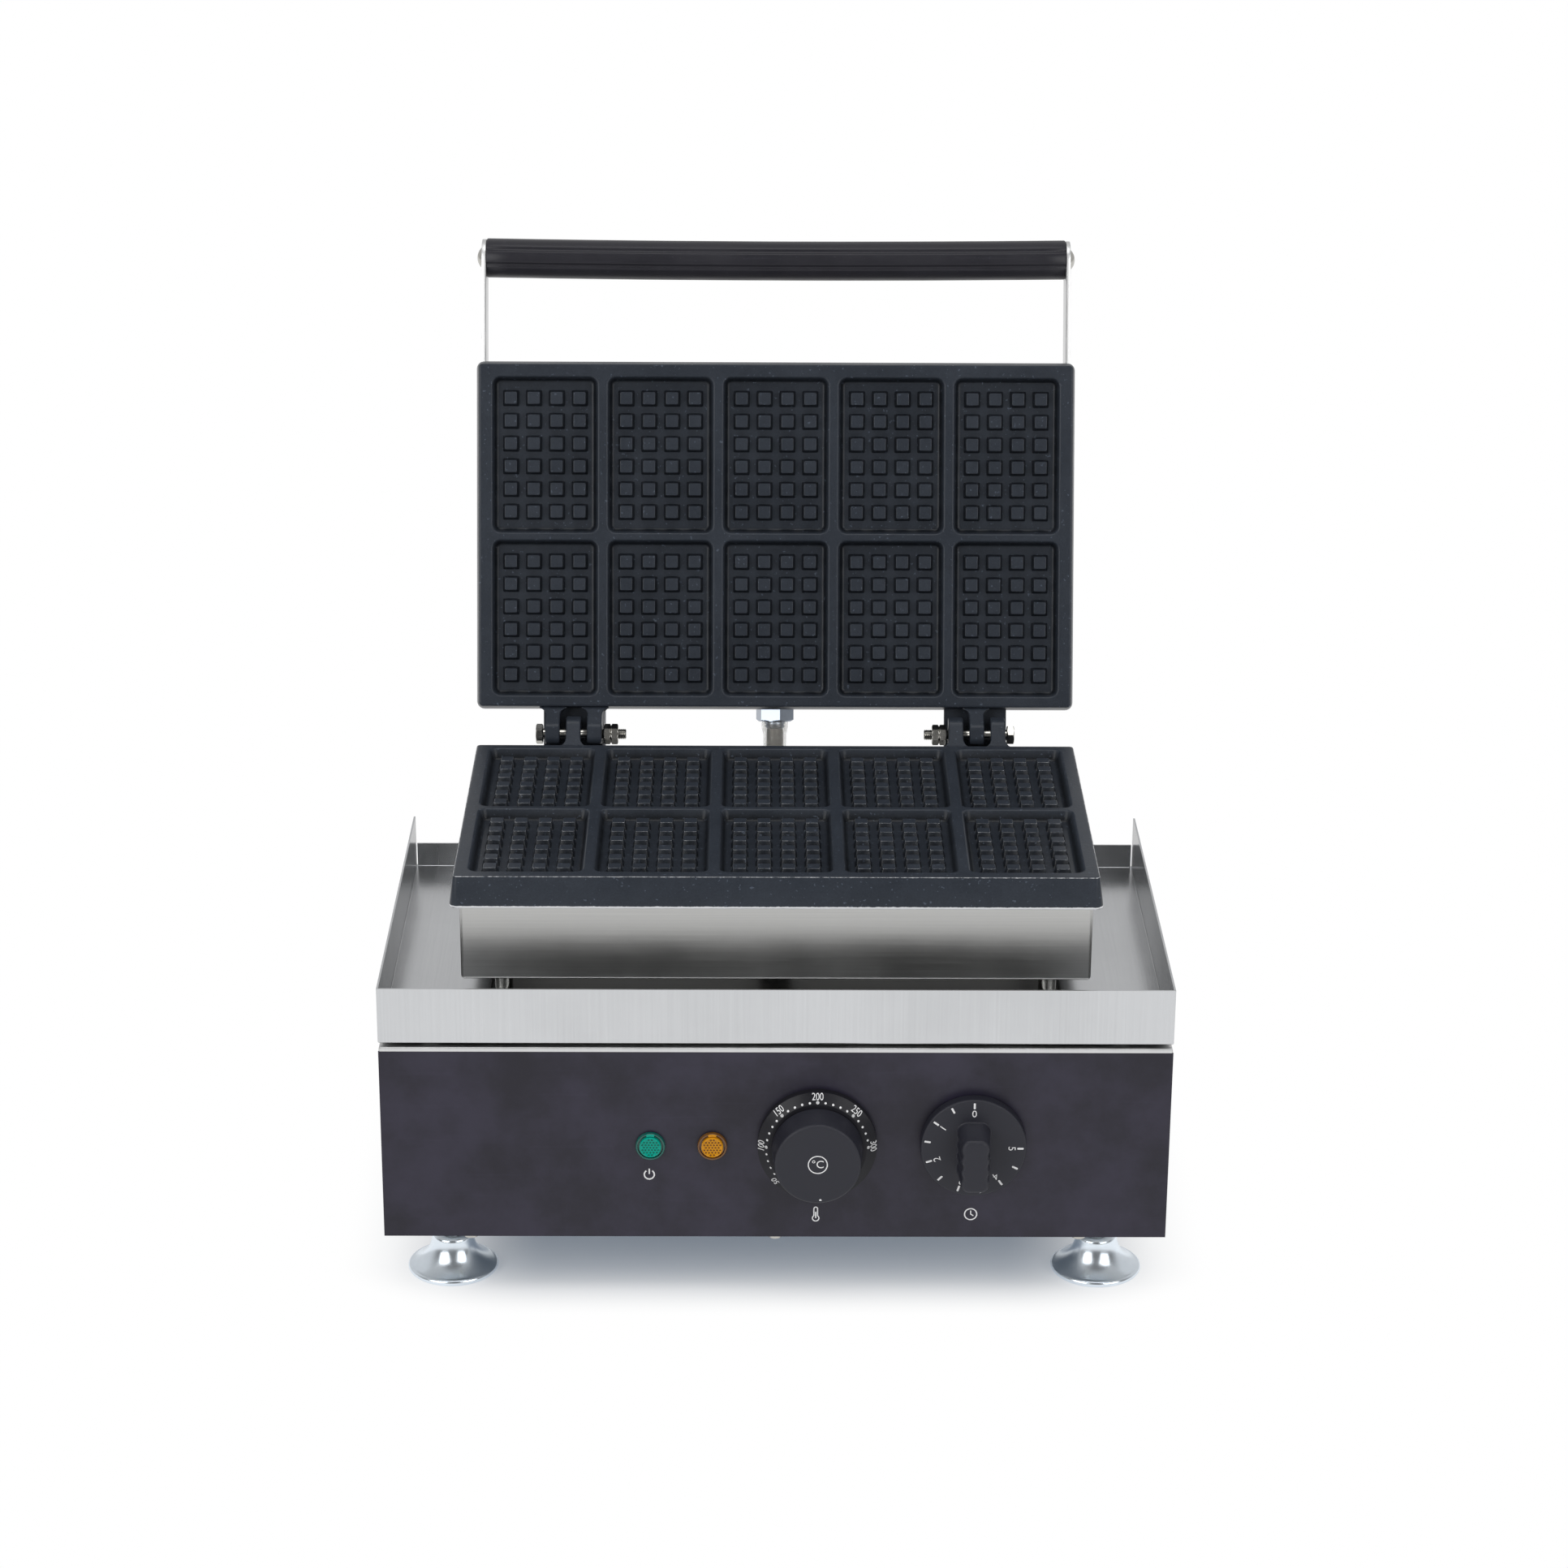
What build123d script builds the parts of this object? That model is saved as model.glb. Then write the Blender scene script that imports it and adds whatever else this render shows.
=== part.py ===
from build123d import *
import math
import os

# A table-top waffle maker: a sheet-steel base on four feet, a drip tray, and two cast plates that are hinged
# together, each with a casing that holds its heater.
# Millimetres. X runs to the right, Y to the back and Z up. The origin is on the floor, under the middle of
# the whole machine with its lid open. The lid is modelled shut, then turned open about the hinge axis.

# Frame
origin_depth = 163.4  # from the front face of the base to the origin

# Sheet metal and fits
sheet = 1.0  # steel sheet of the base, the tray and the casings
bend_radius = 2.0  # outside radius of a folded edge
running_gap = 0.08  # radial gap round anything that turns or slides in a bore
thread_gap = 0.05  # radial gap round a screw in its thread or hole
hole_gap = 0.25  # radial gap round a shank in a drilled hole
slide_gap = 0.1  # gap between faces that slide or turn past each other
seat_gap = 0.05  # gap at a round seat that rests against a flat face
cut_margin = 1.0  # how far a cut runs past the face it opens
hex_corner = 2 / math.sqrt(3)  # a hexagon's width across corners over its width across flats

# Base
base_width = 410.0
base_depth = 280.0
base_height = 108.5
bottom_flange = 14.0  # width of the base's inward fold at the bottom
bottom_plate_thickness = 1.0
bottom_plate_inset = 3.0  # the bottom plate's edge inside the base's sides
panel_thickness = 0.8
panel_height = 106.5
bottom_screw_shank = 4.0
bottom_screw_head = 7.5
bottom_screw_head_height = 2.4
bottom_screw_length = 6.0
bottom_screw_spacing = 160.0  # along the front and rear flanges

# Feet
foot_height = 31.2  # floor to the underside of the bottom plate
foot_diameter = 48.0
foot_rim_height = 3.6
foot_neck_diameter = 22.0
foot_neck_bottom = 18.5  # height where the flare meets the neck
foot_neck_top = 22.0
foot_flare_bow = 2.6  # how far the flare is hollowed from a straight slope
foot_stud = 8.0
foot_stud_above = 17.0  # stud above the underside of the bottom plate
foot_inset_x = 33.6  # foot axis to the base's side
foot_inset_y = 27.0  # foot axis to the base's front or rear face
foot_nut_flats = 13.0
foot_nut_height = 6.5

# Controls on the front panel: places from the base's middle and above the floor
lamp_height = 85.4
green_lamp_x = -65.1
amber_lamp_x = -32.9
lamp_flange = 15.5
lamp_flange_height = 2.2
lamp_lens = 11.3
lamp_lens_height = 3.4
lamp_channel_depth = 1.2
lamp_neck = 10.0
lamp_neck_length = 14.0
lamp_nut = 15.0
lamp_nut_height = 4.0
lamp_socket = 8.0
lamp_socket_length = 9.0
control_neck = 10.0
control_nut_flats = 13.0
control_nut_height = 2.2
control_neck_proud = 3.0  # neck in front of the panel
spindle = 6.0
spindle_depth = 14.0  # spindle inside the control's body
spindle_stop = 2.0  # material left in a knob in front of its spindle
thermostat_x = 21.6
thermostat_z = 87.1
bezel_diameter = 62.0
bezel_land = 51.0  # the flat front of the bezel, inside its sloping ring
bezel_thickness = 8.0
bezel_rim = 4.4  # height of the bezel's straight outer wall
bezel_bore = 17.0
bezel_edge = 0.5
thermostat_width = 44.0
thermostat_body_height = 40.0
thermostat_depth = 28.0
knob_base = 47.5
knob_front = 44.8
knob_height = 17.3
knob_edge = 1.5
knob_gap = 0.6  # knob to the face behind it
timer_x = 102.7
timer_z = 87.5
timer_width = 46.0
timer_depth = 32.0
dial_diameter = 55.3
dial_thickness = 6.8
dial_edge = 1.2
dial_recess = 18.0  # hollow at the back of the dial, over the control nut
dial_recess_depth = 3.2
grip_bar_length = 32.0
grip_bar_width = 16.8
grip_bar_height = 19.8
grip_bar_drop = 1.35  # the bar's middle below the dial's middle
grip_bar_corner = 5.5
grip_bar_taper = 3.6  # degrees
grip_bar_edge = 2.0
scallop_radius = 4.5
scallop_depth = 0.6
scallop_pitch = 6.4
scallop_count = 3  # on each side of the bar

# Inside the base and on its rear wall
terminal_length = 50.0
terminal_depth = 22.0
terminal_height = 18.0
terminal_x = 70.0
terminal_rear_gap = 44.0  # terminal block's rear face to the base's rear face
loom_diameter = 5.0
loom_drop = 6.0  # where the loom leaves a control, below its middle
loom_run = 60.0  # straight run out of a control
loom_bend = 18.0
gland_x = -120.0
gland_z = 62.0
gland_flats = 22.0
gland_flange_height = 6.0
gland_nose = 17.0
gland_nose_length = 14.0
gland_neck = 16.0
gland_neck_length = 9.0
gland_bore = 9.0
gland_nut_height = 5.0

# Drip tray
tray_depth = 239.0
tray_floor_height = 143.2  # underside of the tray above the floor
tray_wall_height = 30.7
tray_rear_height = 14.6
tray_corner_slit = 0.6  # open slit between the rear walls and the side walls
tray_bend = 1.3
tray_cut_gap_x = 3.25  # the cut-out's side to a post
tray_cut_gap_y = 5.6  # the cut-out's front edge to a post
tray_lip_height = 5.0
runner_width = 8.0
runner_inset = 26.0  # runner's middle to the base's side
runner_front = 12.0
runner_rear = 12.0  # runner's rear end in front of the tray's rear edge

# Lower casing and what carries it
casing_inset_x = 5.05  # casing's sides inside the plate's edge
casing_inset_y = 4.9  # casing's front and rear inside the plate's edge
casing_height = 42.2
casing_floor_height = 167.2
plate_middle = 120.35  # middle of the plates from the base's front face
post_diameter = 9.5
post_inset_x = 20.5  # post axis inside the casing's side
post_inset_y = 28.05  # post axis inside the casing's front or rear
post_stud = 6.0
post_stud_below = 9.0
post_nut_flats = 10.0
post_nut_height = 5.0
sleeve_diameter = 19.0
sleeve_bore = 15.0
capillary_diameter = 2.0
capillary_run = 50.0
capillary_bend = 14.0
capillary_side = 10.0  # where the capillary leaves the thermostat, beside its middle
bulb_diameter = 6.0
bulb_length = 24.0

# Cast plates, the same casting below and above
plate_width = 337.1
plate_depth = 195.9
plate_thickness = 17.0
plate_draft = 2.2  # how far the edge leans in over the thickness
plate_corner = 4.4
pocket_columns = 5
pocket_rows = 2
pocket_margin_x = 7.75  # outer pockets to the rim's side
pocket_margin_y = 6.5  # outer pockets to the rim's front or rear
pocket_depth = 6.0
pocket_draft = 1.8
pocket_corner = 4.5
column_rib = 5.8
row_rib = 4.1
pocket_shift = 0.6  # the pockets' middle behind the plate's middle
peg_columns = 4
peg_rows = 6
peg_wall_gap_x = 4.25  # outer pegs to the pocket's side wall, at its floor
peg_wall_gap_y = 5.9  # outer pegs to the pocket's end wall, at its floor
peg_base = 8.3
peg_top = 6.7
peg_height = 4.3
stud_boss = 14.0
stud_boss_height = 8.0
stud_thread_depth = 7.0

# Hinge
lid_open = 108.0  # degrees between shut and open
hinge_inset = 55.55  # hinge's middle to the plate's side
hinge_reach = 15.5  # hinge axis behind the plate's rim
hinge_rise = 0.6  # hinge axis above the rim, half the gap between the shut plates
lug_radius = 5.6
lug_crown_radius = 4.0  # rounding of the two upper corners of a lug
lug_crown_rise = 5.8  # middle of those corners above the hinge axis
lug_crown_back = 1.3  # middle of the rear one behind the hinge axis
lug_crown_front = 3.0  # middle of the front one in front of the hinge axis
lug_middle = 8.0
lug_outer = 8.1
lug_side_gap = 3.7
lug_root_top = 2.0  # top of a lug's root below the rim
lug_root_bottom = 1.0  # bottom of a lug's root above the plate's underside
lug_sink = 5.0  # how far a lug's root runs into the plate
ledge_width = 35.0
ledge_clearance = 11.0  # hinge axis to the ledge, past which the other plate's lugs turn
stop_gap = 0.3  # between the two ledges' ends with the lid open
bolt_shank = 6.0
bolt_head_flats = 10.0
bolt_head_height = 4.0
bolt_nut_height = 4.1
bolt_nuts = 2
bolt_end = 4.4  # thread past the outer nut
bolt_head_gap = 1.4  # bolt head to the lug beside it
bolt_nut_gap = 1.0  # first nut to the lug beside it

# Heating element, its clamps and the insulation
element_diameter = 8.0
element_runs = 4
element_side_gap = 51.5  # the straight runs' ends inside the casing's side
element_end_gap = 27.05  # the outer runs inside the casing's front or rear
terminal_pin = 4.0
terminal_pin_length = 9.0
clamp_x = 60.0
clamp_width = 20.0
clamp_end_gap = 9.05  # bar's end inside the casing's front or rear
clamp_thickness = 3.0
clamp_boss = 12.0
clamp_screw = 5.0
clamp_screw_head = 9.0
clamp_screw_head_height = 3.2
clamp_thread_depth = 7.0
insulation_thickness = 14.0
insulation_gap = 0.5
insulation_hole = 16.0

# Lid screws and handle
lid_screw_head_height = 4.0
arm_thickness = 2.5
arm_width = 21.0
arm_reach = 61.0  # grip axis in front of the plate's rim
arm_rise = 30.0  # grip axis above the plate's rim
arm_tail = 64.0  # arm's inner end behind the plate's rim
arm_screw_place = 40.0  # dome screw behind the plate's rim
arm_rivet_place = 18.0  # flush screw behind the plate's rim
arm_screw_shank = 6.0
dome_diameter = 12.4
dome_height = 3.0
arm_screw_inside = 8.0  # shank past the casing's wall
arm_nut_flats = 10.0
arm_nut_height = 5.0
grip_diameter = 22.0
grip_groove_width = 2.4
grip_groove_depth = 0.8
grip_groove_angle = 24.0  # degrees either side of the grip's front
grip_edge = 0.8
grip_thread_depth = 24.0

# Conduit between the lid and the base
conduit_diameter = 13.0
conduit_bore = 9.0
conduit_inside = 22.0  # conduit past the base's top
fitting_flats = 19.0
fitting_turn = 15.0  # degrees that the fitting's flats are turned from square
fitting_length = 12.0
fitting_collar = 14.9
fitting_collar_length = 4.0
fitting_neck = 13.0
fitting_neck_length = 7.0
fitting_nut_height = 4.0
grommet_bore = 18.5
grommet_groove = 22.0
grommet_flange = 27.0
grommet_lip = 2.0

# Heights and places that follow from the sizes above
front_y = -origin_depth
rear_y = front_y + base_depth
shell_front_y = front_y + panel_thickness
shell_inner_y = shell_front_y + sheet
base_bottom = foot_height + bottom_plate_thickness
base_top = base_bottom + base_height
plates_y = front_y + plate_middle
casing_width = plate_width - 2 * casing_inset_x
casing_depth = plate_depth - 2 * casing_inset_y
casing_top = casing_floor_height + casing_height
rim_height = casing_top + plate_thickness
rim_width = plate_width - 2 * plate_draft
rim_depth = plate_depth - 2 * plate_draft
rim_front_y = plates_y - rim_depth / 2
hinge_y = plates_y + rim_depth / 2 + hinge_reach
hinge_z = rim_height + hinge_rise
hinge_axis = Axis((0, hinge_y, hinge_z), (1, 0, 0))
foot_xs = (-base_width / 2 + foot_inset_x, base_width / 2 - foot_inset_x)
foot_ys = (front_y + foot_inset_y, rear_y - foot_inset_y)
hinge_x = plate_width / 2 - hinge_inset
post_x = casing_width / 2 - post_inset_x
post_y = casing_depth / 2 - post_inset_y
post_places = [(x, plates_y + y) for x in (-post_x, post_x) for y in (-post_y, post_y)]
tray_cut_half_width = post_x + post_diameter / 2 + tray_cut_gap_x
tray_cut_front_y = plates_y - post_y - post_diameter / 2 - tray_cut_gap_y
pocket_row_width = rim_width - 2 * pocket_margin_x
pocket_column_length = rim_depth - 2 * pocket_margin_y
pocket_width = (pocket_row_width - (pocket_columns - 1) * column_rib) / pocket_columns
pocket_length = (pocket_column_length - (pocket_rows - 1) * row_rib) / pocket_rows
pocket_floor_width = pocket_width - 2 * pocket_draft
pocket_floor_length = pocket_length - 2 * pocket_draft
peg_pitch_x = (pocket_floor_width - 2 * peg_wall_gap_x - peg_base) / (peg_columns - 1)
peg_pitch_y = (pocket_floor_length - 2 * peg_wall_gap_y - peg_base) / (peg_rows - 1)
element_run_length = casing_width - 2 * element_side_gap
element_pitch = (casing_depth - 2 * element_end_gap) / (element_runs - 1)
clamp_length = casing_depth - 2 * clamp_end_gap
pocket_pitch_x = pocket_width + column_rib
pocket_pitch_y = pocket_length + row_rib
stud_top = casing_top + stud_thread_depth - stud_boss_height
grip_y = rim_front_y - arm_reach
grip_z = rim_height + 2 * hinge_rise + arm_rise
conduit_z = grip_z
conduit_wall_y = plates_y + casing_depth / 2


# Helpers


def box(x_range, y_range, z_range):
    """A box between two limits on each axis."""
    size = [limits[1] - limits[0] for limits in (x_range, y_range, z_range)]
    middle = [(limits[0] + limits[1]) / 2 for limits in (x_range, y_range, z_range)]
    return Pos(*middle) * Box(*size)


def rod(diameter, start, direction, length):
    """A round bar from a start point along a direction."""
    plane = Plane(origin=start, z_dir=direction)
    return extrude(plane * Circle(diameter / 2), length)


def hexagon_bar(flats, start, direction, length, turn=0):
    """A six-sided bar, measured across its flats."""
    plane = Plane(origin=start, z_dir=direction)
    return extrude(plane * RegularPolygon(flats * hex_corner / 2, 6, rotation=turn), length)


def nut(flats, bore, start, direction, height):
    """A hexagon nut with a plain bore."""
    return hexagon_bar(flats, start, direction, height) - rod(bore, start, direction, height)


def group(solids):
    """Several separate solids as one named piece."""
    return Compound(children=[part.solid() for part in solids])


def dome_screw(shank, length, start, direction):
    """A screw with a low round head. It starts under its head and runs along the direction."""
    radius = dome_diameter / 2
    sphere_radius = (radius**2 + dome_height**2) / (2 * dome_height)
    half_angle = math.asin(radius / sphere_radius) / 2
    sphere_middle = dome_height - sphere_radius
    on_dome = (sphere_radius * math.sin(half_angle), sphere_middle + sphere_radius * math.cos(half_angle))
    profile = Polyline((0, dome_height), (0, 0), (radius, 0))
    profile += ThreePointArc((radius, 0), on_dome, (0, dome_height))
    head = revolve(Plane.XZ * make_face(profile), Axis.Z)
    outward = tuple(-component for component in direction)
    return Plane(origin=start, z_dir=outward) * head + rod(shank, start, direction, length)


# Base


def front_holes(y_start, y_end):
    """The holes for the lamps and for the control necks, through the front of the base."""
    length = y_end - y_start + 2 * cut_margin
    places = [
        (green_lamp_x, lamp_height, lamp_neck),
        (amber_lamp_x, lamp_height, lamp_neck),
        (thermostat_x, thermostat_z, control_neck),
        (timer_x, timer_z, control_neck),
    ]
    return [
        rod(size + 2 * hole_gap, (x, y_start - cut_margin, z), (0, 1, 0), length) for x, z, size in places
    ]


def bottom_screw_places():
    """The middle of each screw that holds the bottom plate to the base's flange."""
    half_width = base_width / 2 - bottom_flange / 2
    edge_front = shell_front_y + bottom_flange / 2
    edge_rear = rear_y - bottom_flange / 2
    along_xs = (-bottom_screw_spacing, 0, bottom_screw_spacing)
    along = [(x, y) for x in along_xs for y in (edge_front, edge_rear)]
    sides = [(x, (edge_front + edge_rear) / 2) for x in (-half_width, half_width)]
    return along + sides


def make_base_shell():
    half = base_width / 2
    outer = box((-half, half), (shell_front_y, rear_y), (base_bottom, base_top))
    upright = outer.edges().filter_by(Axis.Z)
    top = outer.edges().group_by(Axis.Z)[-1]
    outer = fillet(upright + top, bend_radius)
    inner = box(
        (-half + sheet, half - sheet),
        (shell_inner_y, rear_y - sheet),
        (base_bottom + sheet, base_top - sheet),
    )
    inner_upright = inner.edges().filter_by(Axis.Z)
    inner_top = inner.edges().group_by(Axis.Z)[-1]
    inner = fillet(inner_upright + inner_top, bend_radius - sheet)
    opening = box(
        (-half + bottom_flange, half - bottom_flange),
        (shell_front_y + bottom_flange, rear_y - bottom_flange),
        (base_bottom - cut_margin, base_bottom + 2 * sheet),
    )
    shell = outer - inner - opening
    holes = front_holes(shell_front_y, shell_inner_y)
    top_cut = (0, 0, -1)
    cut_length = sheet + 2 * cut_margin
    for x, y in post_places:
        holes.append(rod(post_stud + 2 * hole_gap, (x, y, base_top + cut_margin), top_cut, cut_length))
    holes.append(rod(sleeve_bore, (0, plates_y, base_top + cut_margin), top_cut, cut_length))
    holes.append(rod(grommet_groove, (0, grommet_y(), base_top + cut_margin), top_cut, cut_length))
    gland_start = (gland_x, rear_y + cut_margin, gland_z)
    holes.append(rod(gland_neck + 2 * hole_gap, gland_start, (0, -1, 0), cut_length))
    for x, y in bottom_screw_places():
        hole = bottom_screw_shank + 2 * thread_gap
        holes.append(rod(hole, (x, y, base_bottom - cut_margin), (0, 0, 1), cut_length))
    return shell - holes


def make_front_panel():
    panel = box(
        (-base_width / 2, base_width / 2), (front_y, shell_front_y), (base_bottom, base_bottom + panel_height)
    )
    return panel - front_holes(front_y, shell_front_y)


def make_bottom_plate():
    half = base_width / 2 - bottom_plate_inset
    plate = box(
        (-half, half),
        (shell_front_y + bottom_plate_inset, rear_y - bottom_plate_inset),
        (foot_height, base_bottom),
    )
    length = bottom_plate_thickness + 2 * cut_margin
    low = foot_height - cut_margin
    holes = [rod(foot_stud + 2 * hole_gap, (x, y, low), (0, 0, 1), length) for x in foot_xs for y in foot_ys]
    for x, y in bottom_screw_places():
        holes.append(rod(bottom_screw_shank + 2 * thread_gap, (x, y, low), (0, 0, 1), length))
    return plate - holes


def make_bottom_screws():
    screws = []
    for x, y in bottom_screw_places():
        shank = rod(bottom_screw_shank, (x, y, foot_height), (0, 0, 1), bottom_screw_length)
        head = rod(bottom_screw_head, (x, y, foot_height), (0, 0, -1), bottom_screw_head_height)
        screws.append(shank + head)
    return group(screws)


def make_foot(x, y):
    """A bell-shaped foot on a threaded stud."""
    rim = foot_diameter / 2
    neck = foot_neck_diameter / 2
    half_rim = foot_rim_height / 2
    shoulder = foot_neck_top - foot_neck_bottom
    flare_start = (rim - half_rim, foot_rim_height)
    flare_end = (neck, foot_neck_bottom)
    profile = Polyline((0, foot_neck_top), (0, 0), (rim - half_rim, 0))
    profile += ThreePointArc((rim - half_rim, 0), (rim, half_rim), flare_start)
    profile += SagittaArc(flare_start, flare_end, foot_flare_bow)
    profile += RadiusArc(flare_end, (neck - shoulder, foot_neck_top), -shoulder)
    profile += Line((neck - shoulder, foot_neck_top), (0, foot_neck_top))
    bell = revolve(Plane.XZ * make_face(profile), Axis.Z)
    stud = rod(foot_stud, (0, 0, foot_neck_top), (0, 0, 1), foot_height + foot_stud_above - foot_neck_top)
    return Pos(x, y, 0) * (bell + stud)


def make_foot_nuts(height, direction):
    bore = foot_stud + 2 * running_gap
    return group(
        [
            nut(foot_nut_flats, bore, (x, y, height), (0, 0, direction), foot_nut_height)
            for x in foot_xs
            for y in foot_ys
        ]
    )


# Controls


def make_lamp(x):
    """A lamp lens with a dished flange and a neck that runs through the front of the base."""
    flange = rod(lamp_flange, (x, front_y, lamp_height), (0, -1, 0), lamp_flange_height)
    channel_floor = front_y - lamp_flange_height + lamp_channel_depth
    channel_width = (lamp_flange + lamp_lens) / 2
    channel = rod(channel_width, (x, channel_floor, lamp_height), (0, -1, 0), lamp_channel_depth)
    lens = rod(lamp_lens, (x, front_y, lamp_height), (0, -1, 0), lamp_lens_height)
    lens = chamfer(lens.faces().sort_by(Axis.Y)[0].edges(), lamp_lens_height / 6)
    neck = rod(lamp_neck, (x, front_y, lamp_height), (0, 1, 0), lamp_neck_length)
    return flange - channel + lens + neck


def make_lamp_nuts():
    bore = lamp_neck + 2 * thread_gap
    places = [(x, shell_inner_y, lamp_height) for x in (green_lamp_x, amber_lamp_x)]
    return group([nut(lamp_nut, bore, place, (0, 1, 0), lamp_nut_height) for place in places])


def make_lamp_sockets():
    places = [(x, front_y + lamp_neck_length, lamp_height) for x in (green_lamp_x, amber_lamp_x)]
    return group([rod(lamp_socket, place, (0, 1, 0), lamp_socket_length) for place in places])


def make_control_body(x, z, width, height, depth):
    """A control's case behind the front, with its hollow neck that reaches through it."""
    case = box(
        (x - width / 2, x + width / 2),
        (shell_inner_y, shell_inner_y + depth),
        (z - height / 2, z + height / 2),
    )
    neck_front = front_y - control_neck_proud
    neck = rod(control_neck, (x, neck_front, z), (0, 1, 0), shell_inner_y - neck_front)
    bore_length = shell_inner_y + spindle_depth - neck_front
    bore = rod(spindle + 2 * running_gap, (x, neck_front, z), (0, 1, 0), bore_length)
    return case + neck - bore


def make_spindle(x, z, knob_front_y):
    inner_end = shell_inner_y + spindle_depth - slide_gap
    outer_end = knob_front_y + spindle_stop
    return rod(spindle, (x, outer_end, z), (0, 1, 0), inner_end - outer_end)


def make_control_nuts():
    bore = control_neck + 2 * thread_gap
    places = [(thermostat_x, front_y, thermostat_z), (timer_x, front_y, timer_z)]
    return group([nut(control_nut_flats, bore, place, (0, -1, 0), control_nut_height) for place in places])


def make_bezel():
    """A ring that slopes up from its straight outer wall to a flat land behind the knob."""
    disc = rod(bezel_diameter, (thermostat_x, front_y, thermostat_z), (0, -1, 0), bezel_rim)
    slope_height = bezel_thickness - bezel_rim
    slope = math.degrees(math.atan((bezel_diameter - bezel_land) / 2 / slope_height))
    plane = Plane(origin=(thermostat_x, front_y - bezel_rim, thermostat_z), z_dir=(0, -1, 0))
    cone = extrude(plane * Circle(bezel_diameter / 2), slope_height, taper=slope)
    cone = fillet(cone.faces().sort_by(Axis.Y)[0].edges(), bezel_edge)
    start = (thermostat_x, front_y + cut_margin, thermostat_z)
    return disc + cone - rod(bezel_bore, start, (0, -1, 0), bezel_thickness + 2 * cut_margin)


thermostat_knob_back = front_y - bezel_thickness - knob_gap
thermostat_knob_front = thermostat_knob_back - knob_height
dial_back = front_y - knob_gap
dial_front = dial_back - dial_thickness
timer_knob_front = dial_front - grip_bar_height


def make_thermostat_knob():
    start = (thermostat_x, thermostat_knob_back, thermostat_z)
    taper = math.degrees(math.atan((knob_base - knob_front) / 2 / knob_height))
    plane = Plane(origin=start, z_dir=(0, -1, 0))
    knob = extrude(plane * Circle(knob_base / 2), knob_height, taper=taper)
    knob = fillet(knob.faces().sort_by(Axis.Y)[0].edges(), knob_edge)
    return knob - rod(spindle + 2 * thread_gap, start, (0, -1, 0), knob_height - spindle_stop)


def make_timer_knob():
    """A round dial with a grip bar across it and a hollow back."""
    start = (timer_x, dial_back, timer_z)
    dial = rod(dial_diameter, start, (0, -1, 0), dial_thickness)
    dial = fillet(dial.faces().sort_by(Axis.Y)[0].edges(), dial_edge)
    plane = Plane(origin=(timer_x, dial_front, timer_z - grip_bar_drop), x_dir=(1, 0, 0), z_dir=(0, -1, 0))
    outline = plane * RectangleRounded(grip_bar_width, grip_bar_length, grip_bar_corner)
    bar = extrude(outline, grip_bar_height, taper=grip_bar_taper)
    bar = fillet(bar.faces().sort_by(Axis.Y)[0].edges(), grip_bar_edge)
    lean = math.radians(grip_bar_taper)
    for side in (-1, 1):
        scallop_x = timer_x + side * (grip_bar_width / 2 - scallop_depth + scallop_radius)
        along = (-side * math.sin(lean), -math.cos(lean), 0)
        for place in range(scallop_count):
            scallop_z = timer_z - grip_bar_drop + (place - (scallop_count - 1) / 2) * scallop_pitch
            bar -= rod(2 * scallop_radius, (scallop_x, dial_front, scallop_z), along, 2 * grip_bar_height)
    recess = rod(dial_recess, start, (0, -1, 0), dial_recess_depth)
    bore_length = dial_thickness + grip_bar_height - spindle_stop
    return dial + bar - recess - rod(spindle + 2 * thread_gap, start, (0, -1, 0), bore_length)


terminal_front_y = rear_y - terminal_rear_gap - terminal_depth


def make_terminal_block():
    return box(
        (terminal_x - terminal_length / 2, terminal_x + terminal_length / 2),
        (terminal_front_y, terminal_front_y + terminal_depth),
        (base_bottom, base_bottom + terminal_height),
    )


def tube_along(points, bend, diameter):
    """A round tube along straight runs that are joined by arcs."""
    path = FilletPolyline(*points, radius=bend)
    section = Plane(origin=path @ 0, z_dir=path % 0) * Circle(diameter / 2)
    return sweep(section, path)


def make_control_loom():
    end_z = base_bottom + terminal_height / 2
    ends = [
        (thermostat_x, thermostat_z, thermostat_depth, terminal_x - terminal_length / 4),
        (timer_x, timer_z, timer_depth, terminal_x + terminal_length / 4),
    ]
    wires = []
    for x, z, depth, terminal_place in ends:
        start_y = shell_inner_y + depth
        points = [
            (x, start_y, z - loom_drop),
            (x, start_y + loom_run, z - loom_drop),
            (terminal_place, terminal_front_y - loom_run, end_z),
            (terminal_place, terminal_front_y, end_z),
        ]
        wires.append(tube_along(points, loom_bend, loom_diameter))
    return group(wires)


def make_capillary():
    """The thermostat's thin tube, which runs up the wire sleeve to a bulb against the lower plate."""
    x = thermostat_x - capillary_side
    start_y = shell_inner_y + thermostat_depth
    bulb_bottom = casing_top - seat_gap - bulb_length
    points = [
        (x, start_y, thermostat_z),
        (x, start_y + capillary_run, thermostat_z),
        (0, plates_y, base_top - capillary_run / 2),
        (0, plates_y, bulb_bottom),
    ]
    return tube_along(points, capillary_bend, capillary_diameter) + rod(
        bulb_diameter, (0, plates_y, bulb_bottom), (0, 0, 1), bulb_length
    )


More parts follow.
